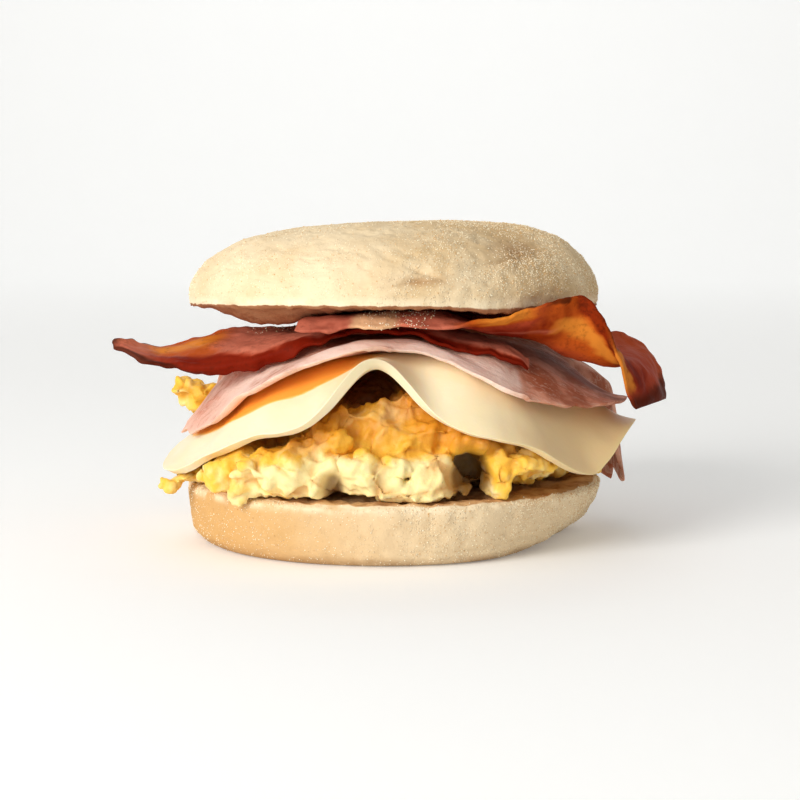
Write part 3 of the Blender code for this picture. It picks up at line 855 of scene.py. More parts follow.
@dataclass(frozen=True)
class BaconFinish:
    """Fried streaky bacon: dark red lean, amber and pale fat, and burnt edges."""

    kind: RasherKind
    lean: Colour = srgb(172, 68, 42)
    dark_lean: Colour = srgb(114, 24, 8)
    rosy: Colour = srgb(206, 122, 98)
    amber: Colour = srgb(186, 82, 22)
    golden: Colour = srgb(222, 138, 50)
    pale_fat: Colour = srgb(226, 180, 136)
    burnt: Colour = srgb(56, 20, 10)

    def make(self) -> bpy.types.Material:
        """Builds the material."""
        shader = Shader(f"bacon_{self.kind.value}")
        across, along = shader.kept("across"), shader.kept("along")
        streak = shader.noise(4.5, 3, 1.0, (0.35, 1.4, 1))
        patch = shader.noise(6, 3, 2.0)
        fine = shader.noise(0.9, 4, 3.0)
        wave = across + (streak - 0.5) * 0.16
        run = along + (patch - 0.5) * 0.07
        bands = self.left_bands if self.kind is RasherKind.LEFT else self.right_bands
        colour = shader.layered(
            self.dark_lean,
            (self.lean, (patch + fine * 0.2).step(0.36, 0.8)),
            *bands(shader, wave, run, patch),
            (self.burnt, (fine * 0.8 + patch * 0.5).step(0.66, 0.9) * 0.35),
        )
        shader.bump(streak * 0.5 + patch * 0.4 + fine * 0.22, 0.35)
        return shader.finish(colour, patch * 0.3 + 0.3, {"Specular IOR Level": 0.015})

    def left_bands(self, shader: Shader, wave: Value, along: Value, patch: Value) -> list[Layer]:
        """The left rasher's colours: rosy upper band, painted shade on the lower face, amber fat, burnt tip.
        """
        level = wave + along.step(0.25, 0.42) * 0.17
        rosy = level.step(0.27, 0.37) * along.step(0.2, 0.27)
        # Painted shade: the lower face, which bends under, is painted dark.
        low = level.step(0.32, 0.24) * along.step(0.1, 0.2)
        amber = along.step(0.3, 0.24) * wave.step(0.24, 0.36)
        glow = along.between(0.08, 0.25, 0.04) * wave.between(0.5, 0.85, 0.12)
        lobe = along.between(0.5, 0.62, 0.03) * wave.between(0.12, 0.6, 0.08)
        edges = wave.step(0.16, 0.05).largest(wave.step(0.84, 0.96))
        rim = (along.step(0.3, 0.14) * wave.step(0.09, 0.03)).largest(along.step(0.13, 0.08) * edges)
        return [
            (self.rosy, rosy * (patch * 0.4 + 0.6)),
            (self.dark_lean, low * 0.9),
            (self.amber, amber * 0.85),
            (self.golden, glow * 0.75),
            (self.rosy, lobe * 0.85),
            (self.rosy, along.step(0.13, 0.06) * 0.6),
            (self.burnt, along.step(0.035, 0.01).largest(rim) * 0.85),
        ]

    def right_bands(self, shader: Shader, wave: Value, along: Value, patch: Value) -> list[Layer]:
        """The right rasher's colours: pale fat under the lid, amber over the hump, a burnt outer edge, a
        painted highlight line and painted shade in the slot at the fold.
        """
        rosy = along.step(0.42, 0.36) * wave.step(0.42, 0.3) * patch.step(0.2, 0.5)
        oval = along.between(0.13, 0.24, 0.015) * wave.step(0.3, 0.18)
        fat = along.between(0.38, 0.58, 0.03) * wave.step(0.12, 0.07)
        shine = along.between(0.42, 0.56, 0.03) * wave.step(0.09, 0.04)
        inner = along.between(0.4, 0.6, 0.03) * wave.between(0.16, 0.5, 0.05)
        hump = (along + wave * 0.12).between(0.6, 0.86, 0.03) * wave.step(0.56, 0.46)
        slant = along + wave * 0.3
        lobe = slant.between(0.5, 0.72, 0.03) * wave.between(0.24, 0.5, 0.05)
        # Painted highlight: a thin rosy line along the lobe's edge.
        line = slant.between(0.46, 0.7, 0.03) * wave.between(0.2, 0.23, 0.02)
        glow = along.between(0.62, 0.84, 0.03) * wave.between(0.14, 0.24, 0.03)
        brown = along.between(0.6, 0.8, 0.03) * wave.between(0.34, 0.56, 0.08)
        tail = along.between(0.8, 0.95, 0.02) * wave.step(0.11, 0.07)
        crust = along.between(0.69, 0.84, 0.015) * wave.step(0.13, 0.09)
        # Painted shade: dark in the slot at the fold near the end.
        slot = along.between(0.84, 0.96, 0.02) * wave.between(0.12, 0.24, 0.03)
        back = along.step(0.7, 0.76) * wave.step(0.3, 0.5)
        knot = along.between(0.6, 0.66, 0.01) * wave.step(0.04, 0.01)
        return [
            (self.rosy, rosy * 0.6),
            (self.pale_fat, oval * 0.9),
            (self.amber, fat * 0.9),
            (self.golden, shine * 0.7),
            (self.dark_lean, inner * 0.75),
            (self.amber, hump * patch.step(0.1, 0.55) * 0.9),
            (self.dark_lean, lobe * 0.7),
            (self.rosy, line * 0.3),
            (self.golden, glow * 0.75),
            (self.lean, brown * 0.55),
            (self.golden, tail * patch.step(0.2, 0.5) * 0.7),
            (self.dark_lean, crust * 0.8),
            (self.burnt, crust * shader.noise(1.1, 3, 5.0).step(0.45, 0.6) * 0.4),
            (self.dark_lean, slot * 0.8),
            (self.lean, back * 0.85),
            (self.amber, back * wave.step(0.5, 0.9) * 0.3),
            (self.burnt, (along + wave * 0.02).step(0.955, 0.99).largest(knot) * 0.8),
        ]


@dataclass(frozen=True)
class FloorFinish:
    """Plain pale floor."""

    colour: Colour = (0.935, 0.942, 0.948)

    def make(self) -> bpy.types.Material:
        """Builds the material."""
        shader = Shader("floor")
        tone = shader.noise(900, 1, 1.0)
        pale = shader.blend(self.colour, tuple(0.99 * c for c in self.colour), tone)
        return shader.finish(pale, 0.9, {"Emission Color": (0.97, 1.0, 1.0), "Emission Strength": 0.115})


# The pieces


@dataclass
class BreadHalf:
    """What both halves of the muffin share: a turned form, worked by hand."""

    name: str = "bread"
    spokes: int = 360
    seed: float = 3.0
    centre: tuple[float, float] = (0.0, 0.0)

    def away(self, x: Array, y: Array) -> Array:
        """Distance from the half's own middle."""
        return np.hypot(x - self.centre[0], y - self.centre[1])

    def profile(self) -> list[tuple[float, float]]:
        """Radius and height of the outline, from the axis to the axis."""
        raise NotImplementedError

    def shape(self, points: Array) -> Array:
        """Moves the turned points to the form of this half."""
        raise NotImplementedError

    def cut_share(self, points: Array) -> Array:
        """1 on the cut face, 0 on the crust."""
        raise NotImplementedError

    def rim_share(self, points: Array) -> Array:
        """1 on the crust beside the cut, 0 away from it."""
        raise NotImplementedError

    def worn(self, points: Array) -> Array:
        """1 where the crust is painted darker, which is nowhere unless a half says so."""
        return np.zeros(len(points))

    def relief(self, points: Array, cut: Array) -> Array:
        """How far each point moves out along its normal."""
        broad = lumps(points, 13 * MM, self.seed, 3) * 0.55 * MM
        fine = lumps(points, 2.6 * MM, self.seed + 5, 3) * 0.18 * MM
        pocks = smooth(0.18, 0.5, lumps(points, 2.1 * MM, self.seed + 7, 2)) * 0.22 * MM
        crumb = lumps(points, 2.6 * MM, self.seed + 9, 4) * 0.6 * MM
        return mix(broad + fine - pocks - 0.2 * MM, crumb, cut)

    @staticmethod
    def bulge(angle: Array) -> Array:
        """How a hand-shaped muffin strays from a true circle."""
        broad = 0.008 * np.sin(2 * angle + 0.6)
        return 1 + broad + 0.006 * np.sin(3 * angle + 2.0) + 0.004 * np.sin(5 * angle)

    def build(self) -> bpy.types.Mesh:
        """Turns, shapes and roughens the half."""
        angles = np.linspace(0, TURN, self.spokes, endpoint=False)
        skin = Skin(self.name)
        for radius, height in self.profile():
            shaped = self.shape(ring(angles, radius, height))
            skin.add(shaped, cut=self.cut_share(shaped), rim=self.rim_share(shaped), worn=self.worn(shaped))
        mesh = skin.mesh()
        points = read_points(mesh)
        lift = self.relief(points, kept_values(mesh, "cut"))
        write_points(mesh, self.keep(points + read_normals(mesh) * lift[:, None]))
        return mesh

    def keep(self, points: Array) -> Array:
        """Holds the points to what the half rests on."""
        return points


@dataclass
class LowerHalf(BreadHalf):
    """The lower half, flat below, with its foot drawn in at the right."""

    name: str = "lower_half_crust"
    centre: tuple[float, float] = (-1.2 * MM, -2.4 * MM)
    radius: float = 44.8 * MM
    height: float = 12.9 * MM
    foot_round: float = 4.0 * MM
    rim_round: float = 1.6 * MM

    def profile(self) -> list[tuple[float, float]]:
        """From the middle of the cut face round to the middle of the base."""
        top = [(r * (self.radius - self.rim_round), self.height) for r in np.linspace(0.01, 0.99, 46)]
        high, low = self.rim_round, self.foot_round
        rim = [
            (self.radius - high * (1 - math.cos(a)), self.height - high * (1 - math.sin(a)))
            for a in np.linspace(math.radians(85), math.radians(3), 8)
        ]
        wall = [(self.radius, h) for h in np.linspace(self.height - high, low, 14)[1:]]
        foot = [
            (self.radius - low * (1 - math.cos(a)), low * (1 - math.sin(a)))
            for a in np.linspace(0, math.pi / 2, 12)[1:]
        ]
        base = [(r * (self.radius - low), 0.0) for r in np.linspace(0.96, 0.02, 12)]
        return top + rim + wall + foot + base

    def taper(self, angle: Array) -> Array:
        """How far the wall draws in at its foot, most of all at the right."""
        right = bell(angle, -0.38, 0.56)
        left = bell(np.abs(angle), math.pi, 0.8)
        back = np.maximum(np.sin(angle), 0)
        return (2.0 + 8.0 * right + 2.5 * back - 1.0 * left) * MM

    def top(self, x: Array, y: Array) -> Array:
        """The uneven cut face."""
        waves = np.sin(x / (9 * MM) + 0.7) * np.cos(y / (11 * MM)) + 0.6 * np.sin((x + 2 * y) / (6 * MM))
        rim = smooth(0.93 * self.radius, 0.8 * self.radius, self.away(x, y))
        return self.height + (0.35 * waves - 0.3) * MM * rim

    def shape(self, points: Array) -> Array:
        """Lays the cut face uneven, tapers the foot and lets the wall wander."""
        x, y, z = points.T
        angle = np.arctan2(y, x)
        taper = self.taper(angle) / self.radius * np.maximum(1 - z / self.height, 0) ** 1.6
        bulge = self.bulge(angle) * (1 - taper)
        x, y = x * bulge + self.centre[0], y * bulge + self.centre[1]
        z = np.where(z > self.height - 0.1 * MM, self.top(x, y), z)
        return np.stack([x, y, z], axis=1)

    def cut_share(self, points: Array) -> Array:
        """1 on the cut face, up to its rim."""
        high = smooth(self.height - 1.4 * MM, self.height - 0.7 * MM, points[:, 2])
        return high * smooth(0.985 * self.radius, 0.95 * self.radius, self.away(points[:, 0], points[:, 1]))

    def rim_share(self, points: Array) -> Array:
        """1 at the top of the wall."""
        return smooth(self.height - 2.6 * MM, self.height - 0.6 * MM, points[:, 2])

    def relief(self, points: Array, cut: Array) -> Array:
        """Adds one long crease low on the wall at the right of the front."""
        plain = super().relief(points, cut)
        angle = np.arctan2(points[:, 1], points[:, 0])
        line = 3.6 * MM + 0.8 * MM * np.sin(angle * 6)
        crease = bell(points[:, 2], line, 0.45 * MM) * smooth(-1.9, -1.5, angle) * smooth(-0.2, -0.7, angle)
        flat = smooth(0.1 * MM, 1.5 * MM, points[:, 2])
        return (plain - 0.35 * MM * crease) * flat

    def keep(self, points: Array) -> Array:
        """Keeps the base on the table."""
        points[:, 2] = np.maximum(points[:, 2], 0)
        return points


@dataclass
class UpperHalf(BreadHalf):
    """The lid: a leaning crown with a soft dent, and a cut face that hangs at the left."""

    name: str = "upper_half_crust"
    seed: float = 8.0
    centre: tuple[float, float] = (-1.6 * MM, 4.0 * MM)
    radius: float = 45.2 * MM
    rim_z: float = 51.6 * MM
    crown: float = 18.2 * MM
    rim_rise: float = 2.2 * MM
    shoulder: float = 4.4
    lean: float = 0.03
    tilt: float = 0.045
    hang: float = 3.4 * MM
    hang_at: tuple[float, float] = (-28 * MM, -22 * MM)
    hang_reach: float = 15 * MM
    dent: float = 1.7 * MM
    dent_at: tuple[float, float] = (24 * MM, -23 * MM)
    dent_reach: float = 7 * MM
    wrinkles: tuple[tuple[float, float, float, float], ...] = (
        (1.0, 56.5, 5.0, 0.25),
        (4.5, 58.8, 3.5, -0.4),
        (20.0, 60.5, 4.0, 0.1),
    )

    def profile(self) -> list[tuple[float, float]]:
        """From the crown over the shoulder and in along the cut face."""
        dome = []
        for share in np.sin(np.linspace(0.008, math.pi / 2, 160)):
            fall = (1 - share**self.shoulder) ** (1 / 1.9)
            gentle = 1.6 * MM * share**2
            rise = (self.crown - self.rim_rise - gentle) * fall
            dome.append((share * self.radius, self.rim_z + self.rim_rise + rise))
        turn_in = ((0.9985, 1.3), (0.995, 0.6), (0.985, 0.15), (0.97, 0.0))
        rim = [(share * self.radius, self.rim_z + rise * MM) for share, rise in turn_in]
        inner = [(r * self.radius, self.rim_z) for r in np.linspace(0.955, 0.02, 40)]
        return dome + rim + inner

    def drop(self, y: Array) -> Array:
        """How much lower the tilted lid is than at its front rim."""
        return self.tilt * (y + 0.9 * self.radius)

    def under(self, x: Array, y: Array) -> Array:
        """The cut face, which hangs lower inside the left rim."""
        inward = smooth(self.radius, self.radius - 9 * MM, self.away(x, y))
        near = ((x - self.hang_at[0]) ** 2 + (y - self.hang_at[1]) ** 2) / self.hang_reach**2
        waves = 0.25 * MM * np.sin(x / (7 * MM)) * np.sin(y / (8 * MM) + 0.4)
        return self.rim_z + (waves - self.hang * np.exp(-near)) * inward - self.drop(y)

    def shape(self, points: Array) -> Array:
        """Leans the crown, presses a dent in it and tilts the whole lid."""
        x, y, z = points.T
        bulge = self.bulge(np.arctan2(y, x) + 1.9)
        x, y = x * bulge + self.centre[0], y * bulge + self.centre[1]
        share = (z - self.rim_z) / self.crown
        near = ((x - self.dent_at[0]) ** 2 + (y - self.dent_at[1]) ** 2) / self.dent_reach**2
        above = z + share * (self.lean * x - self.dent * np.exp(-near)) - self.drop(y)
        z = np.where(z <= self.rim_z + 0.01 * MM, self.under(x, y), above)
        return np.stack([x, y, z], axis=1)

    def over_rim(self, points: Array) -> Array:
        """How high points lie over the tilted rim."""
        return points[:, 2] - (self.rim_z - self.drop(points[:, 1]))

    def cut_share(self, points: Array) -> Array:
        """1 on the cut face below."""
        return smooth(0.7 * MM, 0.1 * MM, self.over_rim(points))

    def rim_share(self, points: Array) -> Array:
        """1 at the foot of the crust."""
        return smooth(2.8 * MM, 0.6 * MM, self.over_rim(points))

    def relief(self, points: Array, cut: Array) -> Array:
        """Calms the crown, adds small wrinkles low at the front, and lets the crumb sag on to the rashers."""
        x, y, z = points.T
        calm = smooth(2 * MM, 20 * MM, self.away(x, y)) * 0.75 + 0.25
        plain = super().relief(points, cut) * mix(calm, 1.0, cut)
        front = smooth(0, -20 * MM, y)
        wrinkles = np.zeros(len(points))
        for at, level, long, bend in self.wrinkles:
            line = level * MM + bend * (x - at * MM)
            wrinkles += bell(x, at * MM, long * MM) * bell(z, line, 0.45 * MM)
        sag = 1.3 * MM * bell(x, 20 * MM, 8 * MM) * smooth(-22 * MM, -30 * MM, y)
        sag += 2.0 * MM * bell(x, -3 * MM, 12 * MM) * bell(y, 5 * MM, 9 * MM)
        return plain - 0.6 * MM * wrinkles * front * (1 - cut) + sag * cut

    def worn(self, points: Array) -> Array:
        """1 in the dent and the wrinkles, where the crust is painted darker."""
        x, y, z = points.T
        dent = bell(x, 24 * MM, 5 * MM) * bell(z, 62.5 * MM, 2.6 * MM)
        fold = bell(x, 4 * MM, 5 * MM) * bell(z, 57 * MM, 1.1 * MM)
        return np.maximum(dent, fold) * smooth(-10 * MM, -22 * MM, y)


@dataclass
class Slice:
    """A thin slice laid over the filling, with a rounded hem."""

    name: str
    lay: CheeseLay | HamLay
    spokes: int = 300
    rings: int = 56
    seed: float = 4.0
    relief: float = 0.25 * MM
    fray: float = 0.3 * MM
    step: float = 0.0
    thinning: float = 0.1
    turn: tuple[tuple[float, float], ...] = SQUARE_HEM
    cover: HamLay | None = None

    def build(self) -> bpy.types.Mesh:
        """Lays the grid, roughens it and wraps it."""
        even = np.linspace(-math.pi, math.pi, self.spokes, endpoint=False)
        angles = math.radians(-98) + even - 0.42 * np.sin(even)
        angles = (angles + math.pi) % TURN - math.pi
        shares = np.linspace(0.02, 1.0, self.rings) ** 0.75
        reach, _ = self.lay.hem(angles)
        ragged = lumps(np.stack([np.cos(angles), np.sin(angles), 0 * angles], axis=1), 0.12, self.seed, 3)
        grid = np.zeros((self.rings, self.spokes, 3))
        for i, share in enumerate(shares):
            far = share * (reach + ragged * self.fray * share**6)
            x, y = far * np.cos(angles), far * np.sin(angles)
            grid[i] = np.stack([x, y, self.lay.height(x, y)], axis=1)
        flat = grid.reshape(-1, 3)
        lift = lumps(flat, 9 * MM, self.seed + 3, 2) * self.relief
        wander = lumps(flat, 8 * MM, self.seed + 5, 2) * 3 * MM
        lobe = smooth(26 * MM, 24.5 * MM, flat[:, 0] + wander) * np.repeat(shares, self.spokes) ** 8
        grid[..., 2] += (lift + lobe * self.step).reshape(self.rings, self.spokes)
        skin = Skin(self.name)
        values = {"reach": np.repeat(shares[:, None], self.spokes, axis=1)}
        if self.cover is not None:
            # The finish paints shade under the covering slice by this value.
            values["shade_under"] = self.shade_under_share(grid, angles)
        sheet_loops(skin, grid, self.thickness(grid, shares), values, self.turn)
        mesh = skin.mesh()
        mesh.set_sharp_from_angle(angle=math.radians(38))
        return mesh

    def shade_under_share(self, grid: Array, angles: Array) -> Array:
        """1 where the slice runs in under the one that covers it, most of all at the left, which its finish
        paints with shade and an orange glow.
        """
        far = np.hypot(grid[..., 0], grid[..., 1])
        edge = self.cover.hem(angles)[0][None, :]
        left = 0.3 + 0.7 * smooth(0.0, -14 * MM, grid[..., 0])
        return smooth(edge - 1.8 * MM, edge - 3.2 * MM, far) * left

    def thickness(self, grid: Array, shares: Array) -> Array:
        """The slice's thickness at each point of its grid."""
        flat = grid.reshape(-1, 3)
        uneven = 1 + 0.12 * lumps(flat, 6 * MM, self.seed + 8, 2).reshape(grid.shape[:2])
        return self.lay.thick * uneven * (1 - self.thinning * shares[:, None] ** 14)


@dataclass
class Rasher:
    """One rasher of bacon, swept through its stations."""

    name: str
    stations: tuple[Station, ...]
    ham: HamLay
    lid: UpperHalf
    thick: float = 1.5 * MM
    columns: int = 260
    rows: int = 44
    taper_columns: int = 6
    seed: float = 2.0

    def settle(self, points: Array) -> Array:
        """Keeps the strip clear of the ham below it and the lid above it."""
        x, y, z = points.T
        under_lid = self.lid.away(x, y) < self.lid.radius + 1.5 * MM
        room = self.ham.gap + self.thick / 2
        z = np.where(under_lid, np.minimum(z, self.lid.under(x, y) - room), z)
        reach, angle = polar(x, y)
        over_ham = reach < self.ham.hem(angle)[0] + 1.0 * MM
        offset = (self.ham.thick + self.thick) / 2 + self.ham.gap
        least = self.ham.height(x, y) + offset * self.ham.slope(x, y)
        z = np.where(over_ham, np.maximum(z, least), z)
        return np.stack([x, y, z], axis=1)

    def lay(self) -> Array:
        """The strip's middle surface, by column along it and by row across."""
        edges = np.asarray(self.stations, float) * MM
        lines = [curve_through(edges[:, k], self.columns) for k in range(3)]
        corners = np.stack(lines, axis=1)
        grid = np.stack([rounded_corner(corner, self.rows) for corner in corners])
        return self.settle(grid.reshape(-1, 3)).reshape(grid.shape)

    def build(self) -> bpy.types.Mesh:
        """Sweeps the strip, ripples it and wraps it with thin, frilled edges."""
        grid = self.lay()
        along, across = np.gradient(grid, axis=0), np.gradient(grid, axis=1)
        normal, sideways = unit(np.cross(along, across)), unit(across)
        shares = np.linspace(0, 1, self.rows)
        edge = smooth(0.22, 0.0, np.minimum(shares, 1 - shares))[None, :]
        flat = grid.reshape(-1, 3)
        shape = grid.shape[:2]
        ripple = 0.5 * lumps(flat, 9 * MM, self.seed, 2).reshape(shape)
        ripple += 0.07 * lumps(flat, 2.4 * MM, self.seed + 4, 2).reshape(shape)
        ripple += 0.8 * edge * lumps(flat, 5.0 * MM, self.seed + 11, 2).reshape(shape)
        widen = np.linspace(-1, 1, self.rows)[None, :]
        wander = lumps(grid[:, 0], 5 * MM, self.seed + 7, 3)[:, None] * 0.9 * widen
        grid = grid + normal * ripple[..., None] * MM + sideways * wander[..., None] * MM
        uneven = 1 + 0.4 * lumps(grid.reshape(-1, 3), 4 * MM, self.seed + 2, 2).reshape(shape)
        ahead = np.minimum(np.arange(1, self.columns + 1), self.taper_columns) / self.taper_columns
        taper = np.sin(np.minimum(ahead, ahead[::-1]) * math.pi / 2)[:, None]
        half = (self.thick * np.clip(uneven, 0.6, 1.5) * (1 - 0.45 * edge) * taper / 2)[..., None]
        skin = Skin(self.name)
        across_loop = np.concatenate([[0, 0], shares, [1, 1, 1], shares[::-1], [0]])
        for i in range(self.columns):
            loop = self.wrap(grid[i], normal[i], sideways[i], half[i])
            skin.add(loop, across=across_loop, along=i / (self.columns - 1))
        return skin.mesh()

    @staticmethod
    def wrap(line: Array, normal: Array, sideways: Array, half: Array) -> Array:
        """One closed section round a row of middle points."""
        turns = (math.radians(50), 0.0, math.radians(-50))
        top, low = line + normal * half, line - normal * half
        far = [line[-1] + half[-1] * (normal[-1] * math.sin(t) + sideways[-1] * math.cos(t)) for t in turns]
        near = [line[0] - half[0] * (normal[0] * math.sin(t) + sideways[0] * math.cos(t)) for t in turns]
        return np.concatenate([near[1:], top, far, low[::-1], near[:1]])


@dataclass(frozen=True)
class Curd:
    """One lump of egg: its middle and half sizes in millimetres."""

    middle: Point
    half: Point


@dataclass
class EggHeap:
    """The scrambled egg: a core, the curds that show, and seeded ones round the back."""

    cheese: CheeseLay
    lower: LowerHalf
    name: str = "scrambled_egg_curds"
    voxel: float = 0.54 * MM
    spare: float = 0.55 * MM
    rounds_of_easing: int = 11
    core_radius: float = 22 * MM
    core_back: float = 1.5 * MM
    core_line: tuple[tuple[float, float], ...] = (
        (0.02, 38),
        (0.4, 37),
        (0.8, 35),
        (1.1, 32),
        (1.34, 28),
        (1.48, 23),
        (1.6, 18),
        (1.64, 15.8),
        (1.6, 14.5),
        (0.05, 14.5),
    )
    seed: int = 11
    shown: tuple[Curd, ...] = (
        Curd((-24.0, -38.0, 18.4), (9.0, 7.0, 5.4)),
        Curd((-31.0, -33.5, 16.6), (7.0, 7.6, 4.6)),
        Curd((-16.0, -41.0, 16.8), (4.6, 5.0, 4.8)),
        Curd((-19.0, -37.5, 21.4), (6.4, 6.4, 4.6)),
        Curd((-36.5, -25.5, 16.2), (5.4, 6.4, 3.2)),
        Curd((-33.0, -29.5, 20.0), (7.5, 8.0, 3.4)),
        Curd((-7.5, -41.6, 18.4), (5.6, 5.0, 4.4)),
        Curd((-2.5, -40.6, 20.2), (5.0, 5.2, 3.4)),
        Curd((-2.0, -43.2, 15.2), (3.8, 3.4, 2.8)),
        Curd((7.5, -41.0, 18.4), (4.6, 4.6, 4.6)),
        Curd((5.5, -42.4, 15.4), (4.6, 3.6, 2.8)),
        Curd((10.5, -39.5, 15.2), (3.6, 4.6, 2.4)),
        Curd((22.0, -36.0, 20.8), (6.6, 5.4, 3.4)),
        Curd((19.5, -39.0, 17.4), (3.4, 4.0, 4.2)),
        Curd((28.0, -31.5, 18.8), (4.6, 5.8, 2.6)),
        Curd((-12.5, -35.0, 26.6), (5.6, 6.6, 5.4)),
        Curd((-4.0, -34.5, 26.8), (7.6, 6.2, 5.2)),
        Curd((2.0, -32.5, 31.4), (3.8, 5.6, 3.6)),
        Curd((6.5, -34.5, 26.2), (6.8, 6.0, 4.2)),
        Curd((-16.0, -37.0, 23.6), (5.0, 5.8, 4.4)),
        Curd((-9.4, -31.5, 28.6), (3.8, 5.6, 3.0)),
        Curd((13.5, -36.0, 23.8), (5.6, 5.2, 3.0)),
        Curd((2.6, -38.4, 22.8), (4.4, 4.6, 3.8)),
        Curd((-44.0, -14.0, 15.6), (5.6, 6.5, 2.8)),
        Curd((-48.2, -18.5, 14.0), (2.2, 2.6, 2.4)),
        Curd((-36.0, 12.5, 22.5), (7.5, 7.0, 5.4)),
        Curd((-43.5, 13.5, 27.5), (5.4, 5.4, 4.4)),
        Curd((-48.0, 14.5, 29.8), (3.6, 3.8, 3.4)),
    )
    gaps: tuple[tuple[float, float, float, float, float], ...] = (
        (14.2, 17.6, 4.0, 5.2, 8.5),
        (-13.2, 15.6, 2.2, 3.6, 5.0),
        (-20.5, 24.0, 2.2, 1.6, 2.4),
    )
    rings: tuple[tuple[int, float, float, float], ...] = ((13, 37.5, 17.5, 5.6), (8, 33.0, 24.0, 4.6))
    tears: tuple[tuple[float, float, float, float], ...] = (
        (1.2, 13, 2.0, 0.42),
        (0.7, 6, 5.0, 0.45),
        (0.4, 2.9, 7.0, 0.4),
    )

    def curds(self) -> list[Curd]:
        """Every curd: those that show, and seeded rings for the rest."""
        draw = random.Random(self.seed)
        made = list(self.shown)
        for count, reach, height, size in self.rings:
            for k in range(count):
                angle = TURN * (k + draw.uniform(-0.25, 0.25)) / count
                if math.sin(angle) < -0.35:
                    continue
                out = reach + draw.uniform(-1.5, 1.5)
                middle = (out * math.cos(angle), out * math.sin(angle), height + draw.uniform(-1.2, 1.2))
                made.append(Curd(middle, tuple(size * draw.uniform(0.8, 1.25) for _ in range(3))))
        return made

    def crumbs(self) -> list[Curd]:
        """Small scraps that cling to the curds that show."""
        draw = random.Random(self.seed + 1)
        made = []
        for curd in self.shown:
            for _ in range(2):
                turn, lift = draw.uniform(0, TURN), draw.uniform(-0.8, 0.8)
                flat = math.sqrt(1 - lift * lift)
                way = (flat * math.cos(turn), flat * math.sin(turn), lift)
                middle = tuple(m + 0.93 * h * w for m, h, w in zip(curd.middle, curd.half, way))
                made.append(Curd(middle, tuple(draw.uniform(0.6, 2.2) for _ in range(3))))
        return made

    def core(self) -> bpy.types.Mesh:
        """The plain middle of the heap."""
        angles = np.linspace(0, TURN, 72, endpoint=False)
        skin = Skin("core")
        for share, height in self.core_line:
            skin.add(ring(angles, share * self.core_radius, height * MM) - (0, self.core_back, 0))
        return skin.mesh()

    @staticmethod
    def ball() -> bpy.types.Mesh:
        """A fine unit ball."""
        angles = np.linspace(0, TURN, 36, endpoint=False)
        skin = Skin("ball")
        for lean in np.linspace(0.04, math.pi - 0.04, 20):
            skin.add(ring(angles, math.sin(lean), math.cos(lean)))
        return skin.mesh()

    def press(self, points: Array, spare: float) -> Array:
        """Flattens egg against the bread below and the cheese above, with room to spare."""
        x, y, z = points.T
        reach, angle = polar(x, y)
        hem = self.cheese.hem(angle)[0]
        outside = np.maximum(reach - hem, 0)
        shrink = np.where(outside > 0, hem / np.maximum(reach, TINY), 1)
        lid = self.cheese.height(x * shrink, y * shrink)
        factor = np.where(outside > 0, 1.0, self.cheese.slope(x, y))
        ceiling = lid + 0.9 * outside - (self.cheese.thick / 2 + spare) * factor
        off_bread = self.lower.away(x, y) > self.lower.radius + 1.3 * MM
        floor = np.where(off_bread, 10 * MM, self.lower.height + 0.3 * MM)
        crossed = ceiling < floor
        middle = (ceiling + floor) / 2
        inside = np.clip(z, np.where(crossed, middle, floor), np.where(crossed, middle, ceiling))
        return np.stack([x, y, inside + 0.05 * (z - inside)], axis=1)

    def loose(self) -> bpy.types.Mesh:
        """The core and every curd as loose lumps that overlap."""
        core, ball = self.core(), self.ball()
        around, sides = read_points(ball), [list(face.vertices) for face in ball.polygons]
        parts, faces = [read_points(core)], [list(face.vertices) for face in core.polygons]
        for index, curd in enumerate([*self.curds(), *self.crumbs()]):
            offset = len(core.vertices) + index * len(around)
            rough = 1 + 0.4 * lumps(around, 0.8, 7.3 * index, 2)
            parts.append(np.asarray(curd.middle) * MM + around * rough[:, None] * np.asarray(curd.half) * MM)
            faces += [[i + offset for i in face] for face in sides]
        made = bpy.data.meshes.new("loose_egg")
        made.from_pydata(self.press(np.concatenate(parts), self.spare + 0.5 * MM).tolist(), [], faces)
        return made

    def fused(self, loose: bpy.types.Mesh) -> bpy.types.Mesh:
        """Loose lumps melted into one skin and eased."""
        heap = bpy.data.objects.new("loose_egg", loose)
        bpy.context.scene.collection.objects.link(heap)
        melt = heap.modifiers.new("Fuse", "REMESH")
        melt.mode = "VOXEL"
        melt.voxel_size = self.voxel
        relax = heap.modifiers.new("Relax", "SMOOTH")
        relax.factor = 0.5
        relax.iterations = self.rounds_of_easing
        bpy.context.view_layer.update()
        mesh = bpy.data.meshes.new_from_object(heap.evaluated_get(bpy.context.evaluated_depsgraph_get()))
        bpy.data.objects.remove(heap)
        mesh.name = self.name
        return mesh

    def gap_depth(self, points: Array) -> Array:
        """How far the front is set back in the gaps between curds, in millimetres."""
        depth = np.zeros(len(points))
        for at, level, wide, tall, deep in self.gaps:
            near = ((points[:, 0] / MM - at) / wide) ** 2 + ((points[:, 2] / MM - level) / tall) ** 2
            depth = np.maximum(depth, deep * np.exp(-(near**1.5)))
        return depth

    def shade_under_share(self, points: Array) -> Array:
        """1 high up close under the cheese, which the finish paints in deeper yellow shade."""
        x, y, z = points.T
        reach, angle = polar(x, y)
        close = smooth(16 * MM, 4 * MM, self.cheese.height(x, y) - z)
        return np.where(reach < self.cheese.hem(angle)[0], close, 0) * smooth(21 * MM, 25 * MM, z)

    @staticmethod
    def tent_shade_share(points: Array) -> Array:
        """1 in the recess under the tent, which the finish paints as dark shade."""
        x, y, z = points.T
        near = ((x + 6.5 * MM) / (6.0 * MM)) ** 2 + ((z - 33 * MM) / (4.5 * MM)) ** 2
        return smooth(1.6, 0.6, near) * smooth(-33.5 * MM, -30 * MM, y)

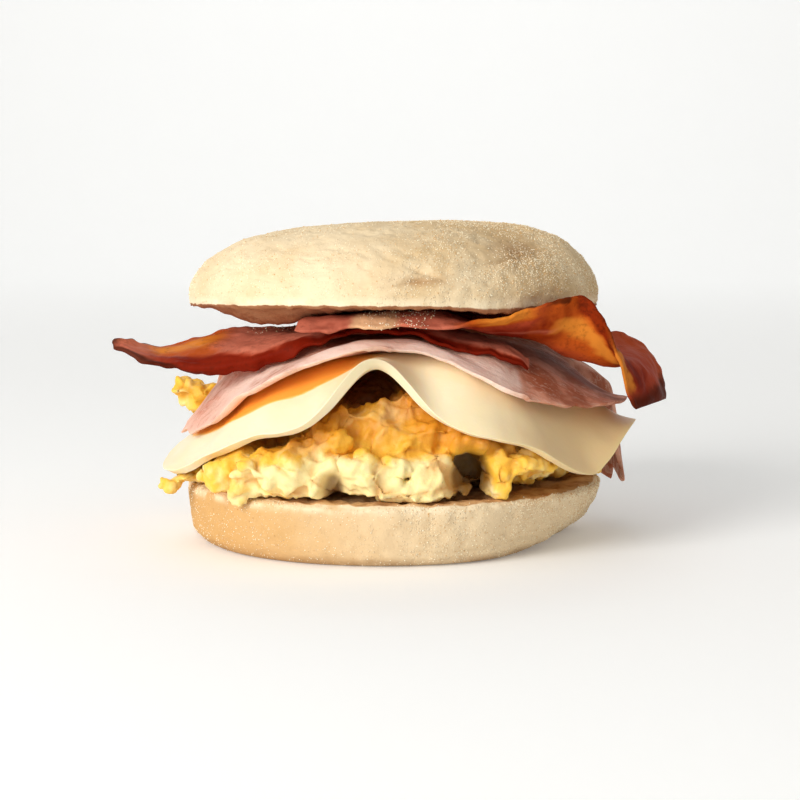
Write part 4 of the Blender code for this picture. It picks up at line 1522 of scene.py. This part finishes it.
    def build(self) -> bpy.types.Mesh:
        """Fuses the lumps, tears their surface, presses them into place and notes what their finish needs."""
        mesh = self.fused(self.loose())
        points, normals = read_points(mesh), read_normals(mesh)
        warp = np.stack([lumps(points, 5.0 * MM, 30.0 + k, 2) for k in range(3)], axis=1) * 1.5 * MM
        big, small, torn = (
            np.minimum(creases(points + bend * warp, size * MM, seed) / width, 1)
            for bend, size, seed, width in self.tears
        )
        fine = lumps(points, 1.3 * MM, 9.0, 2)
        folds = lumps(points, 6.5 * MM, 12.0, 2)
        lift = (2.1 * (big - 0.6) + 0.9 * (small - 0.5) + 0.42 * (torn - 0.5) + 0.4 * folds + 0.3 * fine) * MM
        moved = points + normals * lift[:, None]
        gap = self.gap_depth(moved)
        moved[:, 1] += gap * MM * smooth(-26 * MM, -34 * MM, moved[:, 1])
        moved = self.press(moved, self.spare)
        write_points(mesh, moved)
        # Painted shade: the finish deepens the yellow where height is low, in the tears.
        note_values(mesh, "height", np.clip(0.75 * big + 0.25 * small + 0.15 * folds, 0, 1))
        # Painted shade under the cheese.
        note_values(mesh, "shade_under", self.shade_under_share(moved))
        # Painted shade: dark brown in the recess under the tent and in the gaps between curds.
        note_values(mesh, "recess_shade", np.maximum(self.tent_shade_share(moved), smooth(1.5, 5.0, gap) * 0.75))
        mesh.shade_smooth()
        return mesh


@dataclass
class Grains:
    """Coarse flour or bread crumbs strewn over a piece."""

    name: str
    count: int
    seed: int
    smallest: float = 0.07 * MM
    largest: float = 0.17 * MM
    corners: tuple[Point, ...] = ((1, 0, 0), (-1, 0, 0), (0, 1, 0), (0, -1, 0), (0, 0, 1), (0, 0, -1))
    sides: tuple[tuple[int, int, int], ...] = (
        (0, 2, 4),
        (2, 1, 4),
        (1, 3, 4),
        (3, 0, 4),
        (2, 0, 5),
        (1, 2, 5),
        (3, 1, 5),
        (0, 3, 5),
    )

    def build(self, ground: bpy.types.Mesh, weight: Array) -> bpy.types.Mesh:
        """Strews the grains.

        Args:
            ground: The piece that they lie on.
            weight: How readily each point of it takes a grain.

        Returns:
            All grains as one mesh.
        """
        draw = np.random.default_rng(self.seed)
        points, normals = read_points(ground), read_normals(ground)
        chosen = draw.choice(len(points), self.count, p=weight / weight.sum())
        size = draw.uniform(self.smallest, self.largest, (self.count, 1, 3))
        wobble = draw.uniform(0.75, 1.25, (self.count, len(self.corners), 1))
        turn, _ = np.linalg.qr(draw.normal(size=(self.count, 3, 3)))
        local = np.array(self.corners, float)[None] * size * wobble
        middle = points[chosen] + normals[chosen] * 0.03 * MM + draw.normal(size=(self.count, 3)) * 0.2 * MM
        above = np.sum((middle - points[chosen]) * normals[chosen], axis=1)[:, None]
        middle -= normals[chosen] * above * 0.8
        placed = np.einsum("nij,nkj->nki", turn, local) + middle[:, None, :]
        faces = np.array(self.sides)[None] + len(self.corners) * np.arange(self.count)[:, None, None]
        flip = np.linalg.det(turn) < 0
        faces[flip] = faces[flip][:, :, ::-1]
        mesh = bpy.data.meshes.new(self.name)
        mesh.from_pydata(placed.reshape(-1, 3).tolist(), [], faces.reshape(-1, 3).tolist())
        note_values(mesh, "shade", np.repeat(draw.uniform(0, 1, self.count), len(self.corners)))
        return mesh


@dataclass
class Studio:
    """Pale swept floor, soft light from the left and the camera."""

    eye: Point = (0.0, -0.450, 0.0773)
    target: Point = (0.0, 0.0, 0.0290)
    lens: float = 93.15
    floor_half: float = 2.2
    sweep_at: float = 1.1
    sweep_radius: float = 0.6
    backdrop_top: float = 2.2

    def floor(self) -> None:
        """Builds the floor and its sweep up behind."""
        at, radius = self.sweep_at, self.sweep_radius
        line = [(-self.floor_half, 0.0), (at, 0.0)]
        for a in np.linspace(0, math.pi / 2, 14)[1:]:
            line.append((at + radius * math.sin(a), radius * (1 - math.cos(a))))
        line.append((at + radius, self.backdrop_top))
        points = [(side * self.floor_half, y, z) for y, z in line for side in (-1, 1)]
        faces = [(2 * k, 2 * k + 1, 2 * k + 3, 2 * k + 2) for k in range(len(line) - 1)]
        mesh = bpy.data.meshes.new("floor")
        mesh.from_pydata(points, [], faces)
        mesh.shade_smooth()
        add_piece("floor", mesh, FloorFinish().make())

    @staticmethod
    def stand(name: str, held: bpy.types.ID, place: Point, aim: Point) -> bpy.types.Object:
        """Stands a lamp or the camera at a place, turned to what it faces."""
        made = bpy.data.objects.new(name, held)
        made.location = place
        made.rotation_euler = (Vector(aim) - Vector(place)).to_track_quat("-Z", "Y").to_euler()
        bpy.context.scene.collection.objects.link(made)
        return made

    def lamp(
        self, name: str, place: Point, size: float, watts: float, colour: Colour, aim: Point | None = None
    ) -> None:
        """Adds one square lamp.

        Args:
            name: Its name.
            place: Where it stands.
            size: Its side.
            watts: Its power.
            colour: Its colour.
            aim: What it faces, which is the food unless given.
        """
        light = bpy.data.lights.new(name, "AREA")
        light.size = size
        light.energy = watts
        light.color = colour
        self.stand(name, light, place, aim or self.target)

    def light(self) -> None:
        """Sets soft daylight: a broad key at the left, a weak lamp above, one on the sweep, a pale world."""
        self.lamp("key", (-0.60, -0.70, 0.38), 0.55, 8.6, (1.0, 0.985, 0.95))
        self.lamp("top", (-0.3, -0.1, 1.0), 0.7, 0.9, (1.0, 0.99, 0.97))
        self.lamp("rear", (0.0, 1.15, 1.45), 0.9, 6.8, (1.0, 1.0, 0.99), (0.0, 1.75, 0.75))
        world = bpy.data.worlds.new("surround")
        world.use_nodes = True
        back = world.node_tree.nodes["Background"]
        back.inputs["Color"].default_value = (1.0, 0.97, 0.92, 1)
        back.inputs["Strength"].default_value = 0.4
        bpy.context.scene.world = world
        bpy.context.scene.view_settings.view_transform = "Standard"

    def camera(self) -> None:
        """Stands the camera in front, a little above the middle of the filling."""
        made = bpy.data.cameras.new("camera")
        made.lens = self.lens
        made.sensor_width = 36.0
        made.clip_start = 0.01
        bpy.context.scene.camera = self.stand("camera", made, self.eye, self.target)


LEFT_STATIONS = (
    ((-59.8, -18.0, 42.2), (-60.6, -16.5, 43.0), (-60.0, -14.5, 43.8)),
    ((-56.4, -19.5, 40.9), (-56.6, -17.0, 41.7), (-56.8, -12.5, 42.9)),
    ((-51.5, -21.5, 39.3), (-51.5, -19.0, 39.7), (-51.0, -9.5, 41.3)),
    ((-46.0, -22.5, 38.0), (-46.0, -23.0, 38.9), (-46.0, -7.5, 42.4)),
    ((-39.0, -24.0, 37.0), (-39.5, -26.0, 39.0), (-39.5, -5.5, 44.2)),
    ((-31.0, -26.5, 38.1), (-32.0, -29.0, 40.6), (-32.0, -5.0, 45.1)),
    ((-25.0, -28.5, 40.1), (-26.0, -30.0, 42.4), (-26.0, -6.0, 45.5)),
    ((-18.0, -30.5, 43.5), (-19.0, -27.0, 44.8), (-19.0, -8.0, 45.4)),
    ((-10.0, -30.5, 45.9), (-10.0, -25.0, 46.5), (-10.0, -9.5, 46.2)),
    ((0.0, -31.0, 45.9), (0.0, -25.0, 46.4), (0.0, -10.0, 46.2)),
    ((8.0, -32.0, 43.9), (8.0, -24.0, 45.6), (8.0, -9.5, 45.9)),
    ((14.5, -31.8, 41.9), (14.5, -25.0, 43.6), (14.5, -15.0, 44.9)),
    ((20.5, -30.6, 39.6), (21.0, -27.5, 41.0), (21.0, -23.8, 42.4)),
    ((26.0, -29.4, 37.8), (26.5, -27.5, 39.2), (26.5, -25.2, 40.6)),
)
RIGHT_STATIONS = (
    ((-21.0, -36.6, 47.0), (-20.5, -33.0, 48.4), (-20.0, -12.0, 47.6)),
    ((-12.0, -38.2, 47.6), (-12.0, -34.6, 49.5), (-12.0, -11.0, 48.4)),
    ((0.0, -38.8, 47.9), (0.0, -35.2, 49.8), (0.0, -11.5, 48.6)),
    ((10.0, -38.0, 47.9), (10.0, -33.5, 49.3), (10.0, -11.5, 48.9)),
    ((18.0, -36.4, 48.8), (18.0, -30.0, 45.8), (18.0, -12.0, 49.1)),
    ((22.5, -35.4, 49.8), (22.5, -30.0, 44.8), (23.0, -11.5, 49.1)),
    ((27.0, -34.2, 51.2), (28.3, -27.2, 43.7), (29.0, -10.5, 48.0)),
    ((31.5, -32.8, 52.7), (34.0, -25.3, 39.9), (35.0, -8.5, 44.6)),
    ((35.8, -29.4, 53.3), (39.0, -23.5, 38.2), (41.5, -6.0, 44.1)),
    ((39.2, -29.0, 51.1), (44.0, -21.5, 37.9), (48.5, -3.0, 43.2)),
    ((42.2, -28.5, 46.3), (48.0, -19.0, 38.6), (52.6, -3.0, 40.9)),
    ((44.6, -28.0, 41.3), (51.0, -16.5, 37.1), (55.4, -4.0, 37.6)),
    ((46.8, -27.0, 35.5), (53.0, -16.0, 33.9), (57.0, -5.0, 33.4)),
    ((49.2, -25.5, 29.9), (54.0, -16.0, 30.3), (57.8, -6.0, 30.1)),
)


def crumb_weight(mesh: bpy.types.Mesh, kind: RasherKind) -> Array:
    """How readily each point of a rasher takes a crumb of bread: where it touches the lid's cut face."""
    along, across = kept_values(mesh, "along"), kept_values(mesh, "across")
    up = np.clip(read_normals(mesh)[:, 2], 0, 1)
    if kind is RasherKind.LEFT:
        return up * smooth(0.6, 0.95, across) * smooth(0.3, 0.38, along) * smooth(0.62, 0.5, along)
    return (up + 0.3) * smooth(0.5, 0.12, across) * smooth(0.14, 0.2, along) * smooth(0.34, 0.28, along)


def grain_weight(mesh: bpy.types.Mesh, right_share: float) -> Array:
    """How readily each point of a crust takes a grain: most at the right and on top, none on the cut face."""
    points, normals = read_points(mesh), read_normals(mesh)
    cut = kept_values(mesh, "cut")
    right = 0.35 + right_share * smooth(-10 * MM, 30 * MM, points[:, 0])
    patch = np.clip(0.6 + lumps(points, 12 * MM, 6.0, 2), 0.1, 2)
    spread = np.hypot(points[:, 0], points[:, 1]) * smooth(0.2 * MM, 0.8 * MM, points[:, 2])
    return right * patch * (1 - cut) ** 2 * spread * np.clip(1 + normals[:, 2] * 0.6, 0.1, 2)


def build_bread() -> UpperHalf:
    """Builds both halves and the flour grains on them, and returns the lid's sizes."""
    lower, upper = LowerHalf(), UpperHalf()
    grain_look = GrainFinish().make()
    crusts = []
    for half, face, node in ((lower, BreadFace.LOWER, "lower_half"), (upper, BreadFace.UPPER, "upper_half")):
        crusts.append(half.build())
        place_piece(half.name, crusts[-1], CrustFinish(face).make(), "crust", node)
    for crust, grains, right_share in (
        (crusts[0], Grains("lower_grains", 9000, 21), 0.4),
        (crusts[1], Grains("upper_grains", 19000, 22), 1.3),
    ):
        strewn = grains.build(crust, grain_weight(crust, right_share))
        place_piece(grains.name, strewn, grain_look, "crust")
    return upper


def build_filling(upper: UpperHalf) -> None:
    """Builds the egg, both slices and both rashers."""
    cheese, ham = CheeseLay(), HamLay()
    egg = EggHeap(cheese, LowerHalf())
    place_piece(egg.name, egg.build(), EggFinish().make(), "egg", "scrambled_egg")
    sheet = Slice("cheese_sheet", cheese, seed=4.0, relief=0.2 * MM, fray=0.15 * MM, cover=ham)
    place_piece(sheet.name, sheet.build(), CheeseFinish().make(), "cheese", "cheese_slice")
    sheet = Slice(
        "ham_sheet",
        ham,
        seed=14.0,
        relief=0.5 * MM,
        fray=0.9 * MM,
        step=0.7 * MM,
        thinning=0.45,
        turn=SOFT_HEM,
    )
    place_piece(sheet.name, sheet.build(), HamFinish().make(), "ham", "ham_slice")
    for kind, stations, node, seed, crumb_count in (
        (RasherKind.LEFT, LEFT_STATIONS, "bacon_left", 2.0, 180),
        (RasherKind.RIGHT, RIGHT_STATIONS, "bacon_right", 6.0, 320),
    ):
        name = f"rasher_{kind.value}"
        rasher = Rasher(name, stations, ham, upper, seed=seed).build()
        place_piece(name, rasher, BaconFinish(kind).make(), "bacon", node)
        crumbs = Grains(f"crumbs_{kind.value}", crumb_count, 31, 0.06 * MM, 0.2 * MM)
        strewn = crumbs.build(rasher, crumb_weight(rasher, kind))
        place_piece(crumbs.name, strewn, GrainFinish().make(), "crust")


def main() -> None:
    """Loads the frame, builds every piece and the studio."""
    logging.basicConfig(level=logging.INFO, format="%(name)s: %(message)s")
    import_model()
    studio = Studio()
    studio.camera()
    upper = build_bread()
    build_filling(upper)
    studio.floor()
    studio.light()


if __name__ == "__main__":
    main()
